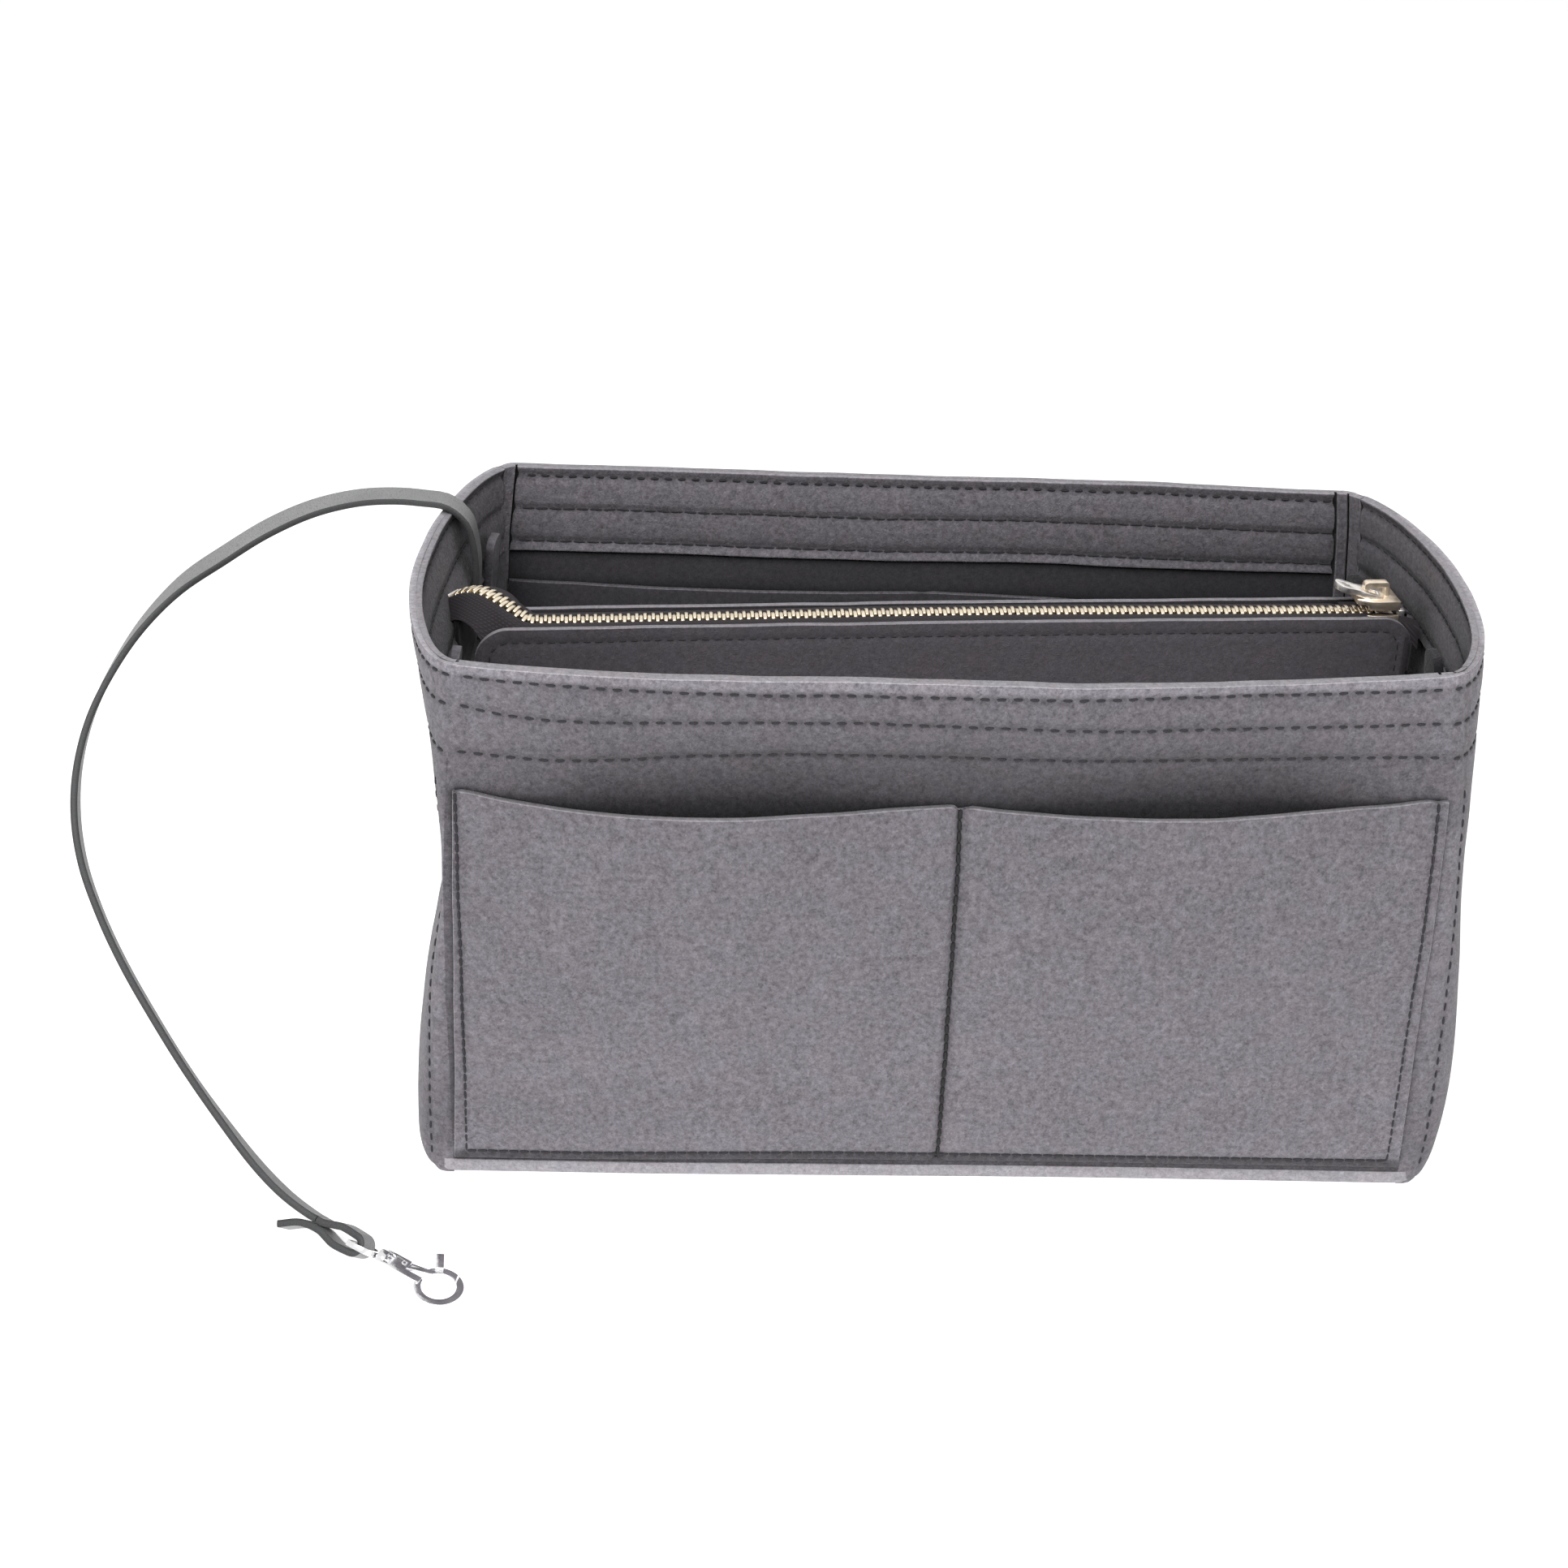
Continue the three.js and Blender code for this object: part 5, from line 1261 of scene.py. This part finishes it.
def makeTapes():
    # Each tape lies flat beside the teeth and turns down inside its panel. On the tail the front one fans out
    s, t = zipSetup, tapeSetup
    far = pouch["inner"] / 2 - 0.2
    stops = [k - t["rightTail"] for k in range(13)] + [k * 2.5 for k in range(1, int(chainStraight / 2.5))]
    stops += [chainStraight + chainTail.length * at for at in evenly(16)]
    shares = [0, 0.12, 0.24, 0.36, 0.5, 0.75, 1]
    for side, word in frontAndBack:
        def surface(stop, share):
            onTail = max(0, stop - chainStraight) / chainTail.length
            frameAt = chainFrame(max(stop, 0)) @ Matrix.Translation((-min(stop, 0), 0, 0))
            near = s["beadOuter"] * 0.86
            flat = far - near
            reach = share * (flat + t["leg"])
            if stop < 10.5:
                reach = share * flat * mix(1, 2.6, min(1, max(0, -stop / 12)))
            # the fold between the flat strip and the leg opens out along the tail
            opened = min(1, onTail * 2.2)
            if side < 0:
                width = mix(flat + t["leg"], mix(t["flapWidth"], t["flapEnd"], onTail), opened)
                reach = reach if stop < 10.5 else share * width
            else:
                reach = reach * mix(1, 0.3, opened)
            droop = math.radians(mix(88, 46, opened)) if side < 0 else math.radians(mix(88, 20, opened))
            bendStart = mix(flat, 0.6, opened)
            if reach <= bendStart:
                y, z = near + reach, 0
            else:
                y = near + bendStart + (reach - bendStart) * math.cos(droop)
                z = -(reach - bendStart) * math.sin(droop)
            if stop < 0:
                z -= 0.019 * stop * stop + 0.25 * reach * min(1, -stop / 6)
            return frameAt @ Vector((0, side * y, z + 0.3))

        tape = gridPiece(word + "Tape", stops, shares, surface)
        shell = tape.modifiers.new("thickness", "SOLIDIFY")
        shell.thickness = t["thickness"]
        shell.offset = 0
        applyAll(tape)
        tape.data.transform(Matrix.Scale(mm, 4))
        editAll(tape, turnOut)
        smooth(tape, 60)
        dress(tape, "pouch", zipTape, ["zip_%s_tape" % word])


def polished(nodeName, name, body, material, width, segments=2, angle=30, shift=(0, 0, 0)):
    # A merged copy of a piece with its edges broken
    source = frame["nodes"][nodeName]
    deselectAll()
    copy = source.copy()
    copy.data = source.data.copy()
    copy.parent = None
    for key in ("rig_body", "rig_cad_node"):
        if key in copy:
            del copy[key]
    copy.name = name
    bpy.context.scene.collection.objects.link(copy)
    copy.matrix_world = Matrix.Identity(4)
    editAll(copy, lambda: bpy.ops.mesh.remove_doubles(threshold=0.000002),
            lambda: bpy.ops.mesh.dissolve_limited(angle_limit=math.radians(1.5)))
    addBevel(copy, width, segments, angle)
    copy.modifiers["edge"].use_clamp_overlap = True
    applyAll(copy)
    copy.data.transform(Matrix.Translation(Vector(shift) * mm))
    smooth(copy, 35)
    dress(copy, body, material, [nodeName])
    return copy


def grow(piece, across, up):
    # Larger about the middle of its foot
    xs, ys, zs = zip(*(v.co for v in piece.data.vertices))
    foot = Vector(((min(xs) + max(xs)) / 2, (min(ys) + max(ys)) / 2, min(zs)))
    for vertex in piece.data.vertices:
        away = vertex.co - foot
        vertex.co = foot + Vector((away.x * across, away.y * across, away.z * up))


# the photograph's slider and pull are bulkier than their solids, which have to clear the teeth
sliderSetup = {
    "slider": {"name": "slider", "metal": sliderGold, "shift": (-1.4, -0.1, 0.6), "across": 1.2, "up": 1.45},
    "pull": {"name": "pullTab", "metal": pullSilver, "shift": (-0.8, -0.1, 1.2), "across": 1.08, "up": 1.5},
}
makeTeeth()
makeTapes()
for body, s in sliderSetup.items():
    piece = polished("zip_" + body, s["name"], body, s["metal"], 0.0003, 2, 30, s["shift"])
    grow(piece, s["across"], s["up"])
# painted highlight: the stops take the pale pull metal in place of the chain's gold, so they show as light
# glints
for nodeName, name in (("zip_front_top_stop", "frontTopStop"), ("zip_back_top_stop", "backTopStop"),
                       ("zip_bottom_stop", "bottomStop")):
    polished(nodeName, name, "pouch", pullSilver, 0.0002, 2, 30)
print("zip made")

# Ears, fastener pads, tabs

for nodeName, name in (("ear_left", "leftEar"), ("ear_right", "rightEar"), ("strip", "pouchStrip")):
    polished("pouch_" + nodeName, name, "pouch", earCloth, 0.0003, 2, 40)
for side in ("left", "right"):
    for kind, body in (("hook", "pouch"), ("loop", "bag")):
        polished("pouch_ear_%s_%s_pad" % (side, kind), side + kind.title() + "Pad", body, fastenerNap,
                 0.0002, 1, 40)
tabSag = {"left_front": 0, "left_back": 0, "right_front": 5, "right_back": -8}
for tab, sag in tabSag.items():
    name = tab.replace("_", " ").title().replace(" ", "")
    # the right tabs sit in shade inside the bag and take the painted inside shade
    cloth = endInsideShade if "right" in tab else bagFelt
    polished(tab + "_tab", "tab" + name, tab, cloth, 0.0004, 2, 40, (0, 0, sag))
    polished(tab + "_tab_snap", "snap" + name, tab, claspSilver, 0.00015, 2, 40, (0, 0, sag))
print("tabs made")

# Leash

leash = {
    "width": 8.0,
    "thickness": 2.0,
    "steps": 150,
    "route": [
        (-141.0, 33.0, 120.3), (-140.2, 33, 127), (-138.9, 33.1, 136), (-138, 33.2, 146), (-138.6, 33.4, 154),
        (-140.3, 33.7, 160.4), (-145.8, 34.7, 165.2), (-154, 36.2, 166), (-163, 37.4, 166), (-174, 37.6, 165),
        (-187, 35.6, 162.2), (-200, 31, 157.4), (-212, 25, 151.2), (-224, 17, 144.5), (-234, 8.6, 135.5),
        (-241.6, -1.4, 125.2), (-247, -11.6, 114.2), (-249.2, -22, 103), (-248.4, -32, 92.4),
        (-245, -41.6, 82), (-238.8, -51.4, 71.4), (-231, -61, 61), (-221, -71.4, 49.8), (-210, -82, 38.6),
        (-199, -91.2, 28.4), (-188, -99.8, 19.4), (-179.5, -105, 13.6),
    ],
    "acrossAt": [0, 0.14, 0.32, 0.56, 0.7, 0.84, 1],
    "across": [(0, 1, 0), (0, 0.99, 0.1), (0, 0.96, 0.28), (-0.16, 0.93, -0.25), (-0.22, 0.88, -0.42),
               (-0.22, 0.86, -0.45)],
    "eyeBar": (-158.7, -116.7, 6.6),
    "heading": -28.4,
    "pitch": 9,
    "roll": 43,
    "loopLength": 11,
    "loopSpread": 2.6,
    "turnRadius": 2.43,
    "tailReach": 23,
    "tailSpread": 5,
    "tailBend": 0.34,
}
claspPlace = (Matrix.Translation(leash["eyeBar"]) @ Matrix.Rotation(math.radians(leash["heading"]), 4, "Z")
              @ Matrix.Rotation(math.radians(leash["pitch"]), 4, "Y"))
eyePlace = claspPlace @ Matrix.Rotation(-math.radians(leash["roll"]), 4, "X")


def strapMesh(name, rows, width, thickness):
    # Rounded strap section swept along rows of (middle, across); light faces, dark painted edges
    w, t = width / 2, thickness / 2
    half = [(-w + 0.35, -t), (-w * 0.5, -t), (w * 0.5, -t), (w - 0.35, -t), (w - 0.08, -t * 0.65), (w, 0),
            (w - 0.08, t * 0.65)]
    section = half + [(-x, -y) for x, y in half]
    onEdge = [abs(x) > w * 0.5 for x, y in section]
    points, polygons, kinds = [], [], []
    count = len(section)
    last = len(rows) - 1
    for k, (middle, across) in enumerate(rows):
        along = (rows[min(k + 1, last)][0] - rows[max(k - 1, 0)][0]).normalized()
        side = (across - along * across.dot(along)).normalized()
        normal = side.cross(along)
        points.extend((middle + side * x + normal * y) * mm for x, y in section)
    for k in range(last):
        for i in range(count):
            j = (i + 1) % count
            polygons.append((k * count + i, k * count + j, (k + 1) * count + j, (k + 1) * count + i))
            kinds.append(1 if onEdge[i] and onEdge[j] else 0)
    polygons.append(tuple(reversed(range(count))))
    polygons.append(tuple(last * count + i for i in range(count)))
    kinds += [1, 1]
    piece = newPiece(name, points, polygons)
    editAll(piece, turnOut)
    for material in strapSides:
        piece.data.materials.append(material)
    for face, kind in zip(piece.data.polygons, kinds):
        face.material_index = kind
    smooth(piece, 50)
    return piece


def makeLeash():
    l = leash
    z0 = l["thickness"] / 2 + 0.15
    join = Vector((-l["loopLength"] - l["thickness"], 0, z0))
    end = eyePlace @ (join - Vector((0.3, 0, 0)))
    lead = eyePlace @ (join - Vector((0.3 + l["thickness"], 0, 0)))
    route = SmoothLine(list(l["route"]) + [lead, end], 1200)
    side = eyePlace.to_3x3() @ Vector((0, 1, 0))
    acrossDirections = [Vector(a) for a in l["across"]] + [side]
    rows = []
    for share in evenly(l["steps"]):
        n = next((i for i, at in enumerate(l["acrossAt"]) if at >= share and i > 0), 1)
        part = (share - l["acrossAt"][n - 1]) / (l["acrossAt"][n] - l["acrossAt"][n - 1])
        part = part * part * (3 - 2 * part)
        rows.append((route.at(share), acrossDirections[n - 1].lerp(acrossDirections[n], part)))
    strap = strapMesh("leashStrap", rows, l["width"], l["thickness"])
    dress(strap, "bag", strapSides, ["leash_strap"])
    places = [middle * mm for middle, across in rows]
    length = sum((b - a).length for a, b in zip(places, places[1:]))

    foot, spread, tail = l["loopLength"], l["loopSpread"], l["tailReach"]
    bend = [(-tail, -l["tailSpread"]), (-(tail + foot) / 2, -l["tailSpread"] * l["tailBend"]), (-foot, -z0),
            (-foot * 0.75, -spread * 0.72), (-foot / 2, -spread)]
    for turn in turnsFor(12):
        bend.append((l["turnRadius"] * math.cos(turn), l["turnRadius"] * math.sin(turn)))
    bend += [(-foot / 2, spread), (-foot * 0.75, spread * 0.72), (-foot, z0), (join.x, z0)]
    line = SmoothLine([(x, 0, z) for x, z in bend], 600)
    rows = [(eyePlace @ line.at(at), side) for at in evenly(80)]
    loop = strapMesh("leashLoop", rows, l["width"], l["thickness"])
    dress(loop, "bag", strapSides, ["leash_loop"])
    polished("leash_anchor", "leashAnchor", "bag", strapFace, 0.0005, 2, 40)
    return strap, loop, places, length


strap, loop, strapPath, strapLength = makeLeash()
print("leash", round(strapLength, 4), "m")

# Clasp

claspPieces = [
    polished("clasp_eye", "claspEye", "eye", claspSilver, 0.0003, 3, 30),
    polished("clasp_hook", "claspHook", "hook", claspSilver, 0.0003, 3, 30),
    polished("clasp_lever", "claspLever", "lever", claspSilver, 0.0002, 2, 30),
    polished("clasp_lever_pin", "leverPin", "hook", claspSilver, 0.0001, 2, 30),
    polished("clasp_lever_spring", "leverSpring", "hook", claspSilver, 0.00002, 1, 60),
]
tuple(strapPath[0])
[tuple(p) for p in strapPath]
print("clasp made")

# Floor and light

studio = {
    "floor": (0.93, 0.93, 0.93),
    "floorGlow": 0.75,     # added to the lit floor where the camera sees it, so its white stays white
    "floorLight": 0.3,     # painted light: the floor glows on the light it gives to the bag, standing in for light a white table throws back
    "skyLight": 0.17,
    "keyPlace": (-0.35, -1.45, 1.75),
    "keyAim": (0, 0, 0.08),
    "keySize": 1.4,
    "keyPower": 42.0,
}


def seenByCamera(tree, elsewhere, seen):
    # One value to the camera, straight or by way of metal and glass, and another to all else
    rays = tree.nodes.new("ShaderNodeLightPath").outputs
    direct = mathNode(tree, "MAXIMUM", rays["Is Camera Ray"], rays["Is Glossy Ray"])
    direct = mathNode(tree, "MAXIMUM", direct, rays["Is Transmission Ray"])
    return plus(tree, times(tree, direct, seen - elsewhere), elsewhere)


def makeStudio():
    deselectAll()
    bpy.ops.mesh.primitive_plane_add(size=8, location=(0, 0, 0))
    floor = bpy.context.object
    floor.name = "floor"
    material, tree, shader = newMaterial("floorWhite")
    wire(tree, shader, Base_Color=(*studio["floor"], 1), Roughness=0.9, Specular_IOR_Level=0.0)
    glow = tree.nodes.new("ShaderNodeEmission")
    strength = seenByCamera(tree, studio["floorLight"], studio["floorGlow"])
    wire(tree, glow, Color=(1, 1, 1, 1), Strength=strength)
    both = tree.nodes.new("ShaderNodeAddShader")
    for source, socket in zip((shader, glow), both.inputs):
        tree.links.new(source.outputs[0], socket)
    wire(tree, tree.nodes["Material Output"], Surface=both.outputs[0])
    floor.data.materials.append(material)

    world = bpy.data.worlds.new("studioSky")
    bpy.context.scene.world = world
    world.use_nodes = True
    sky = world.node_tree
    wire(sky, sky.nodes["Background"], Color=(1, 1, 1, 1), Strength=seenByCamera(sky, studio["skyLight"], 1))

    bpy.ops.object.light_add(type="AREA", location=studio["keyPlace"])
    lamp = bpy.context.object
    lamp.name = "keyPanel"
    lamp.data.size = studio["keySize"]
    lamp.data.energy = studio["keyPower"]
    aim = Vector(studio["keyAim"]) - Vector(studio["keyPlace"])
    lamp.rotation_euler = aim.to_track_quat("-Z", "Y").to_euler()


makeStudio()
scene = bpy.context.scene
scene.view_settings.view_transform = "Standard"

print("finishing")
